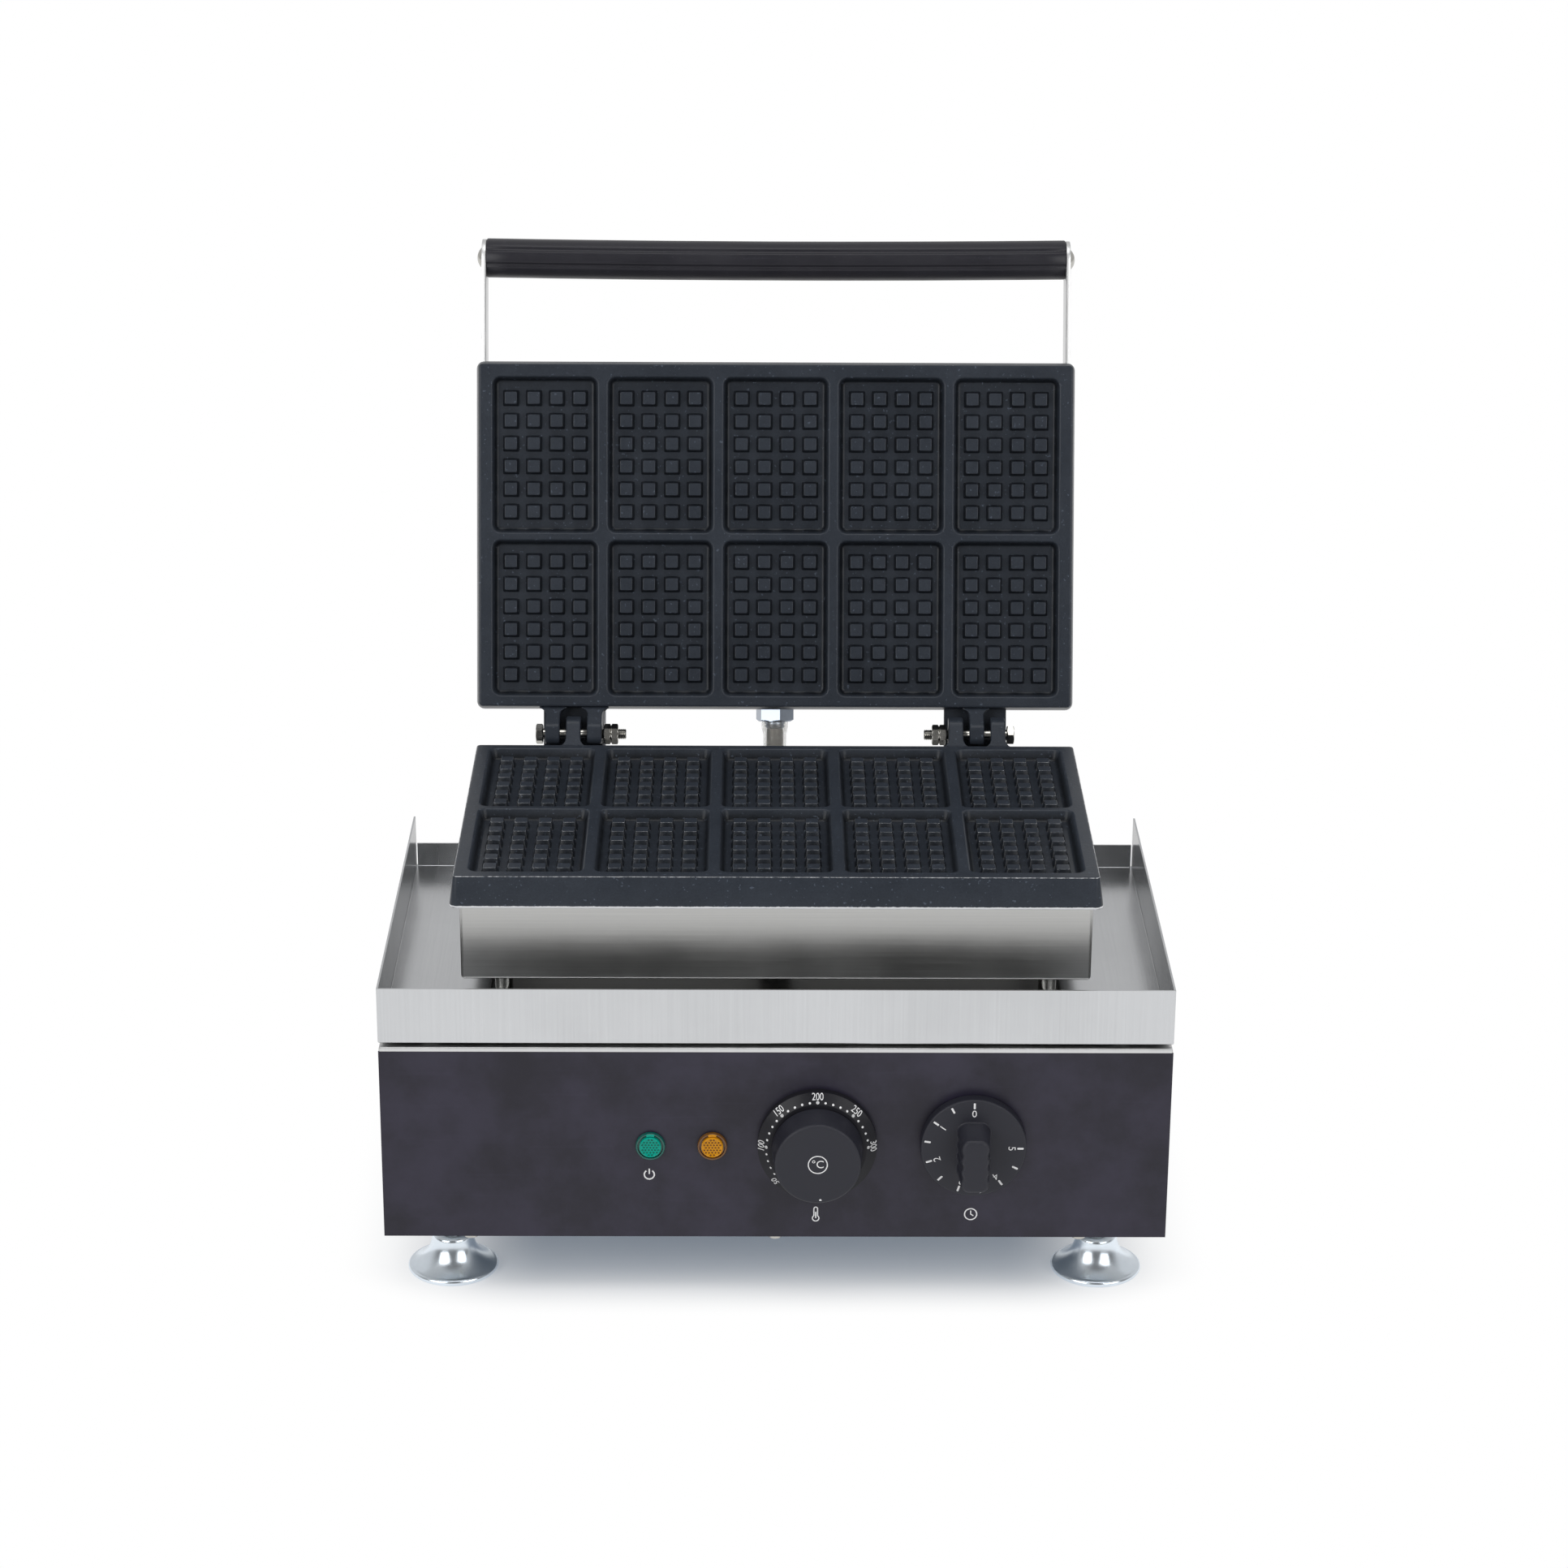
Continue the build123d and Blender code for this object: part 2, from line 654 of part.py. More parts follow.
def make_cable_gland():
    face = (gland_x, rear_y, gland_z)
    flange = hexagon_bar(gland_flats, face, (0, 1, 0), gland_flange_height)
    nose = rod(gland_nose, (gland_x, rear_y + gland_flange_height, gland_z), (0, 1, 0), gland_nose_length)
    nose = fillet(nose.faces().sort_by(Axis.Y)[-1].edges(), (gland_nose - gland_bore) / 5)
    neck = rod(gland_neck, face, (0, -1, 0), gland_neck_length)
    length = gland_neck_length + gland_flange_height + gland_nose_length
    bore_start = (gland_x, rear_y - gland_neck_length, gland_z)
    return flange + nose + neck - rod(gland_bore, bore_start, (0, 1, 0), length)


def make_gland_nut():
    start = (gland_x, rear_y - sheet, gland_z)
    return nut(gland_flats, gland_neck + 2 * thread_gap, start, (0, -1, 0), gland_nut_height)


# Drip tray


def make_drip_tray():
    """A shallow tray, cut away in the middle and open to the back so that it slides out past the posts."""
    half = base_width / 2
    tray_rear_y = front_y + tray_depth
    top = tray_floor_height + tray_wall_height
    outer = box((-half, half), (front_y, tray_rear_y), (tray_floor_height, top))
    outer = fillet(outer.edges().group_by(Axis.Z)[0], tray_bend)
    inner = box(
        (-half + sheet, half - sheet),
        (front_y + sheet, tray_rear_y - sheet),
        (tray_floor_height + sheet, top + cut_margin),
    )
    inner = fillet(inner.edges().group_by(Axis.Z)[0], tray_bend - sheet)
    tray = outer - inner
    rear_range = (tray_rear_y - sheet, tray_rear_y + cut_margin)
    rear_top = tray_floor_height + tray_rear_height
    tray -= box((-half + sheet, half - sheet), rear_range, (rear_top, top + cut_margin))
    for side in (-1, 1):
        slit_x = side * (half - sheet - tray_corner_slit / 2)
        slit_range = (slit_x - tray_corner_slit / 2, slit_x + tray_corner_slit / 2)
        tray -= box(slit_range, rear_range, (tray_floor_height + tray_bend, top + cut_margin))
    cut_range = (tray_cut_front_y, tray_rear_y + cut_margin)
    tray -= box((-tray_cut_half_width, tray_cut_half_width), cut_range, (tray_floor_height - cut_margin, top))
    lip_range = (tray_floor_height, tray_floor_height + tray_lip_height)
    lip_outer = tray_cut_half_width + sheet
    tray += box((-lip_outer, lip_outer), (tray_cut_front_y - sheet, tray_cut_front_y), lip_range)
    for side in (-1, 1):
        lip_x = side * (tray_cut_half_width + sheet / 2)
        lip_length = (tray_cut_front_y - sheet, tray_rear_y)
        tray += box((lip_x - sheet / 2, lip_x + sheet / 2), lip_length, lip_range)
    return tray


def make_tray_runners():
    runners = []
    for side in (-1, 1):
        x = side * (base_width / 2 - runner_inset)
        runners.append(
            box(
                (x - runner_width / 2, x + runner_width / 2),
                (front_y + runner_front, front_y + tray_depth - runner_rear),
                (base_top, tray_floor_height - slide_gap),
            )
        )
    return group(runners)


# Lower casing and its posts


def make_casing():
    """The plain pan that both plates have, at the lower plate's place."""
    half_x = casing_width / 2
    half_y = casing_depth / 2
    outer = box(
        (-half_x, half_x), (plates_y - half_y, plates_y + half_y), (casing_floor_height, casing_top)
    )
    outer = fillet(outer.edges().filter_by(Axis.Z) + outer.edges().group_by(Axis.Z)[0], bend_radius)
    inner = box(
        (-half_x + sheet, half_x - sheet),
        (plates_y - half_y + sheet, plates_y + half_y - sheet),
        (casing_floor_height + sheet, casing_top + cut_margin),
    )
    inner = fillet(inner.edges().filter_by(Axis.Z) + inner.edges().group_by(Axis.Z)[0], bend_radius - sheet)
    casing = outer - inner
    length = sheet + 2 * cut_margin
    low = casing_floor_height - cut_margin
    return casing - [rod(post_stud + 2 * hole_gap, (x, y, low), (0, 0, 1), length) for x, y in post_places]


def make_lower_casing():
    start = (0, plates_y, casing_floor_height - cut_margin)
    return make_casing() - rod(sleeve_bore, start, (0, 0, 1), sheet + 2 * cut_margin)


def make_posts():
    posts = []
    for x, y in post_places:
        spacer = rod(post_diameter, (x, y, base_top), (0, 0, 1), casing_floor_height - base_top)
        low = base_top - sheet - post_stud_below
        posts.append(spacer + rod(post_stud, (x, y, low), (0, 0, 1), stud_top - low))
    return group(posts)


def make_post_nuts():
    bore = post_stud + 2 * thread_gap
    nuts = []
    for x, y in post_places:
        below = (x, y, base_top - sheet)
        above = (x, y, casing_floor_height + sheet)
        nuts.append(nut(post_nut_flats, bore, below, (0, 0, -1), post_nut_height))
        nuts.append(nut(post_nut_flats, bore, above, (0, 0, 1), post_nut_height))
    return group(nuts)


def make_wire_sleeve():
    length = casing_floor_height - base_top
    start = (0, plates_y, base_top)
    return rod(sleeve_diameter, start, (0, 0, 1), length) - rod(sleeve_bore, start, (0, 0, 1), length)


# Cast plates


def tapered_block(width, depth, corner, height, lean, place):
    """A rounded block that narrows by the lean on each side over its height, upwards from its place."""
    outline = Pos(*place) * RectangleRounded(width, depth, corner)
    return extrude(outline, height, taper=math.degrees(math.atan(lean / height)))


def make_pocket():
    """The hollow of one pocket round its pegs, with the rim at the height of its origin."""
    floor_corner = pocket_corner - pocket_draft
    growth = -pocket_draft * (pocket_depth + cut_margin) / pocket_depth
    place = (0, 0, -pocket_depth)
    hollow = tapered_block(
        pocket_floor_width, pocket_floor_length, floor_corner, pocket_depth + cut_margin, growth, place
    )
    peg_lean = (peg_base - peg_top) / 2
    taper = math.degrees(math.atan(peg_lean / peg_height))
    pegs = GridLocations(peg_pitch_x, peg_pitch_y, peg_columns, peg_rows)
    bases = [Pos(0, 0, -pocket_depth) * place * Rectangle(peg_base, peg_base) for place in pegs]
    return hollow - [extrude(base, peg_height, taper=taper) for base in bases]


def lug_profile():
    """The side outline of a hinge lug: its round end, two crown corners and its root in the plate."""
    root_y = plates_y + rim_depth / 2 - lug_sink
    root_end = plates_y + rim_depth / 2
    root_z = (casing_top + lug_root_bottom, rim_height - lug_root_top)
    corners = [(root_y, root_z[0]), (root_end, root_z[0]), (root_end, root_z[1])]
    edges = make_face(Polyline(*corners, close=True)).edges()
    edges += (Pos(hinge_y, hinge_z) * Circle(lug_radius)).edges()
    for crown_y in (hinge_y - lug_crown_front, hinge_y + lug_crown_back):
        edges += (Pos(crown_y, hinge_z + lug_crown_rise) * Circle(lug_crown_radius)).edges()
    return make_hull(edges)


def ledge_profile():
    """The side outline of a ledge under the lugs. Its sloping end stops the lid at the other ledge."""
    root_y = plates_y + rim_depth / 2 - lug_sink
    low = casing_top + lug_root_bottom
    high = hinge_z - ledge_clearance
    end_angle = math.radians(lid_open / 2)
    end_y = hinge_y + (hinge_z - low) / math.tan(end_angle) - stop_gap / 2 / math.sin(end_angle)
    top_y = hinge_y + ledge_clearance / math.tan(end_angle) - stop_gap / 2 / math.sin(end_angle)
    return make_face(Polyline((root_y, low), (end_y, low), (top_y, high), (root_y, high), close=True))


def make_block(profile, x, width):
    """A block of one side outline, centred on its place across the machine."""
    plane = Plane(origin=(x - width / 2, 0, 0), x_dir=(0, 1, 0), z_dir=(1, 0, 0))
    return extrude(plane * profile, width)


def make_plate():
    """The lower casting: pockets on top, bosses below, and a middle lug and a forked lug on ledges behind."""
    plate = tapered_block(
        plate_width, plate_depth, plate_corner, plate_thickness, plate_draft, (0, plates_y, casing_top)
    )
    plate += make_block(lug_profile(), -hinge_x, lug_middle)
    outer_place = lug_middle / 2 + lug_side_gap + lug_outer / 2
    for side in (-1, 1):
        plate += make_block(lug_profile(), hinge_x + side * outer_place, lug_outer)
        plate += make_block(ledge_profile(), side * hinge_x, ledge_width)
    hole_start = (-base_width / 2, hinge_y, hinge_z)
    plate -= rod(bolt_shank + 2 * running_gap, hole_start, (1, 0, 0), base_width)
    for x, y in post_places:
        boss_low = casing_top - stud_boss_height
        plate += rod(stud_boss, (x, y, boss_low), (0, 0, 1), stud_boss_height)
        thread = stud_thread_depth + cut_margin
        plate -= rod(post_stud + 2 * thread_gap, (x, y, boss_low), (0, 0, 1), thread)
    for x in (-clamp_x, clamp_x):
        boss_low = casing_top - element_diameter - seat_gap
        plate += rod(clamp_boss, (x, plates_y, boss_low), (0, 0, 1), casing_top - boss_low)
        thread = clamp_thread_depth + cut_margin
        plate -= rod(clamp_screw + 2 * thread_gap, (x, plates_y, boss_low), (0, 0, 1), thread)
    pocket = make_pocket()
    pockets = GridLocations(pocket_pitch_x, pocket_pitch_y, pocket_columns, pocket_rows)
    return plate - [Pos(0, plates_y + pocket_shift, rim_height) * place * pocket for place in pockets]


# Heater under a plate


def make_element():
    """One tube bent to and fro under the plate, with a connection pin at each end."""
    z = casing_top - seat_gap - element_diameter / 2
    half_run = element_run_length / 2
    first_y = plates_y - element_pitch * (element_runs - 1) / 2
    path = None
    for run in range(element_runs):
        side = 1 if run % 2 == 0 else -1
        y = first_y + run * element_pitch
        line = Line((-side * half_run, y, z), (side * half_run, y, z))
        path = line if path is None else path + line
        if run < element_runs - 1:
            bulge = (side * (half_run + element_pitch / 2), y + element_pitch / 2, z)
            path += ThreePointArc((side * half_run, y, z), bulge, (side * half_run, y + element_pitch, z))
    start = (-half_run, first_y, z)
    section = Plane(origin=start, z_dir=(1, 0, 0)) * Circle(element_diameter / 2)
    tube = sweep(section, path)
    for y in (first_y, first_y + (element_runs - 1) * element_pitch):
        tube += rod(terminal_pin, (-half_run, y, z), (-1, 0, 0), terminal_pin_length)
    return tube


clamp_top = casing_top - element_diameter - seat_gap


def make_clamp_bars():
    bars = []
    for x in (-clamp_x, clamp_x):
        bar = box(
            (x - clamp_width / 2, x + clamp_width / 2),
            (plates_y - clamp_length / 2, plates_y + clamp_length / 2),
            (clamp_top - seat_gap - clamp_thickness, clamp_top - seat_gap),
        )
        bars.append(bar - rod(clamp_screw + 2 * hole_gap, (x, plates_y, 0), (0, 0, 1), casing_top))
    return group(bars)


def make_clamp_screws():
    under_bar = clamp_top - seat_gap - clamp_thickness
    screws = []
    for x in (-clamp_x, clamp_x):
        shank_length = clamp_thickness + seat_gap + clamp_thread_depth
        shank = rod(clamp_screw, (x, plates_y, under_bar), (0, 0, 1), shank_length)
        head = rod(clamp_screw_head, (x, plates_y, under_bar), (0, 0, -1), clamp_screw_head_height)
        screws.append(shank + head)
    return group(screws)


def make_insulation():
    """A slab on the casing's floor, pierced for the studs and for the bulb."""
    half_x = casing_width / 2 - sheet - insulation_gap
    half_y = casing_depth / 2 - sheet - insulation_gap
    low = casing_floor_height + sheet
    slab = box((-half_x, half_x), (plates_y - half_y, plates_y + half_y), (low, low + insulation_thickness))
    slab = chamfer(slab.edges().group_by(Axis.Z)[0] + slab.edges().filter_by(Axis.Z), bend_radius)
    places = post_places + [(0, plates_y)]
    return slab - [rod(insulation_hole, (x, y, low), (0, 0, 1), insulation_thickness) for x, y in places]


# Hinge hardware


def hinge_stack():
    """Half the width of a hinge over its outer lugs."""
    return lug_middle / 2 + lug_side_gap + lug_outer


def make_hinge_bolts():
    """One bolt for each hinge, with its head on the outer side."""
    stack = 2 * hinge_stack() + bolt_head_gap + bolt_nut_gap
    length = stack + bolt_nuts * bolt_nut_height + bolt_end
    bolts = []
    for side in (-1, 1):
        start = (side * (hinge_x + hinge_stack() + bolt_head_gap), hinge_y, hinge_z)
        shank = rod(bolt_shank, start, (-side, 0, 0), length)
        bolts.append(shank + hexagon_bar(bolt_head_flats, start, (side, 0, 0), bolt_head_height))
    return group(bolts)


def make_hinge_nuts():
    bore = bolt_shank + 2 * thread_gap
    nuts = []
    for side in (-1, 1):
        for place in range(bolt_nuts):
            x = side * (hinge_x - hinge_stack() - bolt_nut_gap - place * bolt_nut_height)
            nuts.append(nut(bolt_head_flats, bore, (x, hinge_y, hinge_z), (-side, 0, 0), bolt_nut_height))
    return group(nuts)


# Lid: modelled shut, then opened


def flipped(part):
    """A lower piece turned over to its place in the shut lid."""
    return part.rotate(Axis((0, 0, hinge_z), (0, 1, 0)), 180)


def opened(part):
    """A piece of the shut lid turned to the open lid's place."""
    return part.rotate(hinge_axis, -lid_open)


lid_top = 2 * hinge_z - casing_floor_height


def make_upper_casing():
    casing = flipped(make_casing())
    start = (0, conduit_wall_y + cut_margin, conduit_z)
    casing -= rod(fitting_neck + 2 * hole_gap, start, (0, -1, 0), sheet + 2 * cut_margin)
    for y in (arm_screw_y, arm_rivet_y):
        hole_start = (-base_width / 2, y, grip_z)
        casing -= rod(arm_screw_shank + 2 * hole_gap, hole_start, (1, 0, 0), base_width)
    return casing


def make_lid_screws():
    """Long screws from the lid's outer face into the bosses of the upper plate."""
    length = lid_top - (2 * hinge_z - stud_top)
    screws = []
    for x, y in post_places:
        shank = rod(post_stud, (x, y, lid_top), (0, 0, -1), length)
        screws.append(shank + hexagon_bar(post_nut_flats, (x, y, lid_top), (0, 0, 1), lid_screw_head_height))
    return group(screws)


arm_screw_y = rim_front_y + arm_screw_place
arm_rivet_y = rim_front_y + arm_rivet_place
arm_inner_x = casing_width / 2
arm_outer_x = arm_inner_x + arm_thickness


def make_handle_arm(side):
    """A flat strap with round ends, from the casing's side wall to the grip."""
    tail_y = rim_front_y + arm_tail - arm_width / 2
    middle_y = (grip_y + tail_y) / 2
    plane = Plane(origin=(0, middle_y, grip_z), x_dir=(0, 1, 0), z_dir=(1, 0, 0))
    outline = plane * SlotCenterToCenter(tail_y - grip_y, arm_width)
    strap = extrude(outline, arm_thickness)
    strap = Pos(arm_inner_x if side > 0 else -arm_outer_x, 0, 0) * strap
    hole = arm_screw_shank + 2 * hole_gap
    for y in (grip_y, arm_screw_y, arm_rivet_y):
        strap -= rod(hole, (-base_width / 2, y, grip_z), (1, 0, 0), base_width)
    return strap


def make_grip():
    """A round bar between the arms, with two fine grooves along its front."""
    grip = rod(grip_diameter, (-arm_inner_x, grip_y, grip_z), (1, 0, 0), 2 * arm_inner_x)
    grip = fillet(grip.faces().filter_by(Axis.X).edges(), grip_edge)
    depth_radius = grip_diameter / 2 - grip_groove_depth + grip_groove_width / 2
    for side in (-1, 1):
        angle = math.radians(side * grip_groove_angle)
        groove_y = grip_y + depth_radius * math.sin(angle)
        groove_z = grip_z - depth_radius * math.cos(angle)
        grip -= rod(grip_groove_width, (-base_width / 2, groove_y, groove_z), (1, 0, 0), base_width)
    for side in (-1, 1):
        start = (side * arm_inner_x, grip_y, grip_z)
        grip -= rod(arm_screw_shank + 2 * thread_gap, start, (-side, 0, 0), grip_thread_depth)
    return grip


def make_grip_screws():
    length = arm_thickness + grip_thread_depth - cut_margin
    sides = (-1, 1)
    return group(
        [dome_screw(arm_screw_shank, length, (s * arm_outer_x, grip_y, grip_z), (-s, 0, 0)) for s in sides]
    )


def make_arm_screws():
    """A dome screw and a flush screw through each arm and the casing's side wall."""
    length = arm_thickness + sheet + arm_screw_inside
    screws = []
    for side in (-1, 1):
        inward = (-side, 0, 0)
        screws.append(dome_screw(arm_screw_shank, length, (side * arm_outer_x, arm_screw_y, grip_z), inward))
        screws.append(rod(arm_screw_shank, (side * arm_outer_x, arm_rivet_y, grip_z), inward, length))
    return group(screws)


def make_arm_nuts():
    bore = arm_screw_shank + 2 * thread_gap
    inner_x = casing_width / 2 - sheet
    places = [(side, y) for side in (-1, 1) for y in (arm_screw_y, arm_rivet_y)]
    nuts = []
    for side, y in places:
        nuts.append(nut(arm_nut_flats, bore, (side * inner_x, y, grip_z), (-side, 0, 0), arm_nut_height))
    return group(nuts)


# Conduit


def make_conduit_fitting():
    """A hexagon fitting on the lid's hinge-side wall, with its neck through the wall and a collar outside."""
    wall = (0, conduit_wall_y, conduit_z)
    body = hexagon_bar(fitting_flats, wall, (0, 1, 0), fitting_length, fitting_turn)
    collar_start = (0, conduit_wall_y + fitting_length, conduit_z)
    collar = rod(fitting_collar, collar_start, (0, 1, 0), fitting_collar_length)
    neck = rod(fitting_neck, wall, (0, -1, 0), fitting_neck_length)
    start = (0, conduit_wall_y - fitting_neck_length, conduit_z)
    length = fitting_neck_length + fitting_length + fitting_collar_length
    return body + collar + neck - rod(conduit_bore, start, (0, 1, 0), length)


def make_conduit_locknut():
    start = (0, conduit_wall_y - sheet, conduit_z)
    return nut(fitting_flats, fitting_neck + 2 * thread_gap, start, (0, -1, 0), fitting_nut_height)


def conduit_line():
    """The conduit's start and direction with the lid open."""
    angle = math.radians(lid_open)
    out = conduit_wall_y + fitting_length + fitting_collar_length - hinge_y
    up = conduit_z - hinge_z
    start_y = hinge_y + out * math.cos(angle) + up * math.sin(angle)
    start_z = hinge_z - out * math.sin(angle) + up * math.cos(angle)
    return Vector(0, start_y, start_z), Vector(0, math.cos(angle), -math.sin(angle))


def grommet_y():
    """Where the conduit passes through the base's top."""
    start, direction = conduit_line()
    return start.Y + direction.Y * (base_top - start.Z) / direction.Z


def make_lid_conduit():
    start, direction = conduit_line()
    length = (base_top - start.Z) / direction.Z + conduit_inside
    outer = rod(conduit_diameter, tuple(start), tuple(direction), length)
    return outer - rod(conduit_bore, tuple(start), tuple(direction), length)


def make_grommet():
    low = base_top - sheet - grommet_lip
    height = sheet + 2 * grommet_lip
    place = (0, grommet_y(), low)
    ring = rod(grommet_flange, place, (0, 0, 1), height)
    ring -= rod(grommet_flange + cut_margin, (0, grommet_y(), base_top - sheet), (0, 0, 1), sheet)
    ring += rod(grommet_groove, place, (0, 0, 1), height)
    return ring - rod(grommet_bore, place, (0, 0, 1), height)


# All the pieces by name


def make_pieces():
    plate = make_plate()
    pieces = {
        "base_shell": make_base_shell(),
        "front_panel": make_front_panel(),
        "bottom_plate": make_bottom_plate(),
        "bottom_screws": make_bottom_screws(),
        "foot_nuts": make_foot_nuts(base_bottom, 1),
        "foot_locknuts": make_foot_nuts(foot_height, -1),
        "green_lamp": make_lamp(green_lamp_x),
        "amber_lamp": make_lamp(amber_lamp_x),
        "lamp_nuts": make_lamp_nuts(),
        "lamp_sockets": make_lamp_sockets(),
        "thermostat_bezel": make_bezel(),
        "thermostat_body": make_control_body(
            thermostat_x, thermostat_z, thermostat_width, thermostat_body_height, thermostat_depth
        ),
        "timer_body": make_control_body(timer_x, timer_z, timer_width, timer_width, timer_depth),
        "control_nuts": make_control_nuts(),
        "thermostat_capillary": make_capillary(),
        "terminal_block": make_terminal_block(),
        "control_loom": make_control_loom(),
        "cable_gland": make_cable_gland(),
        "gland_nut": make_gland_nut(),
        "tray_runners": make_tray_runners(),
        "support_posts": make_posts(),
        "post_nuts": make_post_nuts(),
        "wire_sleeve": make_wire_sleeve(),
        "lower_casing": make_lower_casing(),
        "lower_plate": plate,
        "lower_heating_element": make_element(),
        "lower_clamp_bars": make_clamp_bars(),
        "lower_clamp_screws": make_clamp_screws(),
        "lower_insulation": make_insulation(),
        "hinge_bolts": make_hinge_bolts(),
        "hinge_nuts": make_hinge_nuts(),
        "conduit_grommet": make_grommet(),
        "lid_conduit": make_lid_conduit(),
        "drip_tray": make_drip_tray(),
        "thermostat_knob": make_thermostat_knob(),
        "thermostat_spindle": make_spindle(thermostat_x, thermostat_z, thermostat_knob_front),
        "timer_knob": make_timer_knob(),
        "timer_spindle": make_spindle(timer_x, timer_z, timer_knob_front),
    }
    shut_lid = {
        "upper_plate": flipped(plate),
        "upper_casing": make_upper_casing(),
        "upper_heating_element": flipped(make_element()),
        "upper_clamp_bars": flipped(make_clamp_bars()),
        "upper_clamp_screws": flipped(make_clamp_screws()),
        "upper_insulation": flipped(make_insulation()),
        "lid_screws": make_lid_screws(),
        "handle_arm_left": make_handle_arm(-1),
        "handle_arm_right": make_handle_arm(1),
        "handle_grip": make_grip(),
        "grip_screws": make_grip_screws(),
        "arm_screws": make_arm_screws(),
        "arm_nuts": make_arm_nuts(),
        "conduit_fitting": make_conduit_fitting(),
        "conduit_locknut": make_conduit_locknut(),
    }
    for name, part in shut_lid.items():
        pieces[name] = opened(part)
    for row, y in zip(("front", "rear"), foot_ys):
        for side, x in zip(("left", "right"), foot_xs):
            pieces[f"foot_{row}_{side}"] = make_foot(x, y)
    return pieces


if __name__ == "__main__":
    os.makedirs("parts", exist_ok=True)
    for name, part in make_pieces().items():
        export_step(part, f"parts/{name}.step")
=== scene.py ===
"""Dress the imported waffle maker: fine meshes, finishes, studio light and the camera.

Sizes are in millimetres until a mesh is finished, and in metres after that. X runs to the right, Y to the
back and Z up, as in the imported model.
"""

from __future__ import annotations

import logging
import math
from dataclasses import dataclass, replace
from enum import Enum
from functools import cached_property
from typing import Any, Iterable, Sequence

import bmesh
import bpy
from mathutils import Matrix, Vector
from mathutils.geometry import convex_hull_2d

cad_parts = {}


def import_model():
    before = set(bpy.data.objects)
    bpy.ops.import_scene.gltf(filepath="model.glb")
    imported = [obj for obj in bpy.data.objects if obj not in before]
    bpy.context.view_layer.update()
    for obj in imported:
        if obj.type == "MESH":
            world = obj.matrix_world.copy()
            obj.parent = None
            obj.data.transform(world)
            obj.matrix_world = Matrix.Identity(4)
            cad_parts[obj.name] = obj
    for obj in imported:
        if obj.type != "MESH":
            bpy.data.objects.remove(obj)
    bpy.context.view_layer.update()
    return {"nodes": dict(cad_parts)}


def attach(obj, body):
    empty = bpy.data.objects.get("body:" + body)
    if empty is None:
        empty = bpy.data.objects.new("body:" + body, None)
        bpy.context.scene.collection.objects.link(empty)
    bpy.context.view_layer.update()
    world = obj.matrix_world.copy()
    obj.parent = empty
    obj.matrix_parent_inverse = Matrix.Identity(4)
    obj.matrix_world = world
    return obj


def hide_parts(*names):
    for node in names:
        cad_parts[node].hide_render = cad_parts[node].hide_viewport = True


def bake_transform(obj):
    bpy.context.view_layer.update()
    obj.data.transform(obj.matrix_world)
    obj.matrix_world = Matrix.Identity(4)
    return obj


LOG = logging.getLogger("waffle_maker")
MM = 0.001
BUMP_STRENGTH = 0.6
CAPITAL_SHARE = 0.7
FACING_LIMIT = 0.7
PRINT_EXTRUDE = 0.04
TINY = 1e-6

Point2 = tuple[float, float]
Triple = tuple[float, float, float]
Ring = Sequence[Vector]
Socket = bpy.types.NodeSocket
Mesh = bpy.types.Mesh
Vertex = bmesh.types.BMVert


class Body(Enum):
    """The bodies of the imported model."""

    BASE = "base"
    LID = "lid"
    TRAY = "drip_tray"
    THERMOSTAT = "thermostat_knob"
    TIMER = "timer_knob"
    FRONT_LEFT = "foot_front_left"
    FRONT_RIGHT = "foot_front_right"
    REAR_LEFT = "foot_rear_left"
    REAR_RIGHT = "foot_rear_right"


@dataclass(frozen=True)
class Layout:
    """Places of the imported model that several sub-assemblies share."""

    front_y: float = -163.4
    base_top: float = 140.7
    plates_y: float = -43.05
    casing_top: float = 209.4
    hinge_x: float = 113.0
    hinge_y: float = 68.2
    hinge_z: float = 227.0
    lid_angle: float = math.radians(108.0)
    stud_x: float = 143.0
    stud_y: float = 65.0
    foot_x: float = 171.4
    foot_front_y: float = -136.4
    foot_rear_y: float = 89.6

    def open_lid(self) -> Matrix:
        """The turn that takes a place of the shut lid to the open lid."""
        hinge = Matrix.Translation((0.0, self.hinge_y, self.hinge_z))
        return hinge @ Matrix.Rotation(-self.lid_angle, 4, "X") @ hinge.inverted()

    def turn_over(self) -> Matrix:
        """The turn that takes a place of the lower plate to the shut lid."""
        middle = Matrix.Translation((0.0, 0.0, self.hinge_z))
        return middle @ Matrix.Rotation(math.pi, 4, "Y") @ middle.inverted()

    def on_front(self, x: float, z: float, proud: float = 0.0, turn: float = 0.0) -> Matrix:
        """A place in front of the panel, with Z to the front and an anticlockwise turn in degrees."""
        place = Matrix.Translation((x, self.front_y - proud, z))
        return place @ Matrix.Rotation(math.pi / 2, 4, "X") @ Matrix.Rotation(math.radians(turn), 4, "Z")


LAYOUT = Layout()


def put_in_scene(name: str, data: bpy.types.ID) -> bpy.types.Object:
    """Put a new object into the scene.

    Args:
        name: The object's name.
        data: Its mesh, figures, light or camera.

    Returns:
        The object.
    """
    item = bpy.data.objects.new(name, data)
    bpy.context.scene.collection.objects.link(item)
    return item


# Node trees


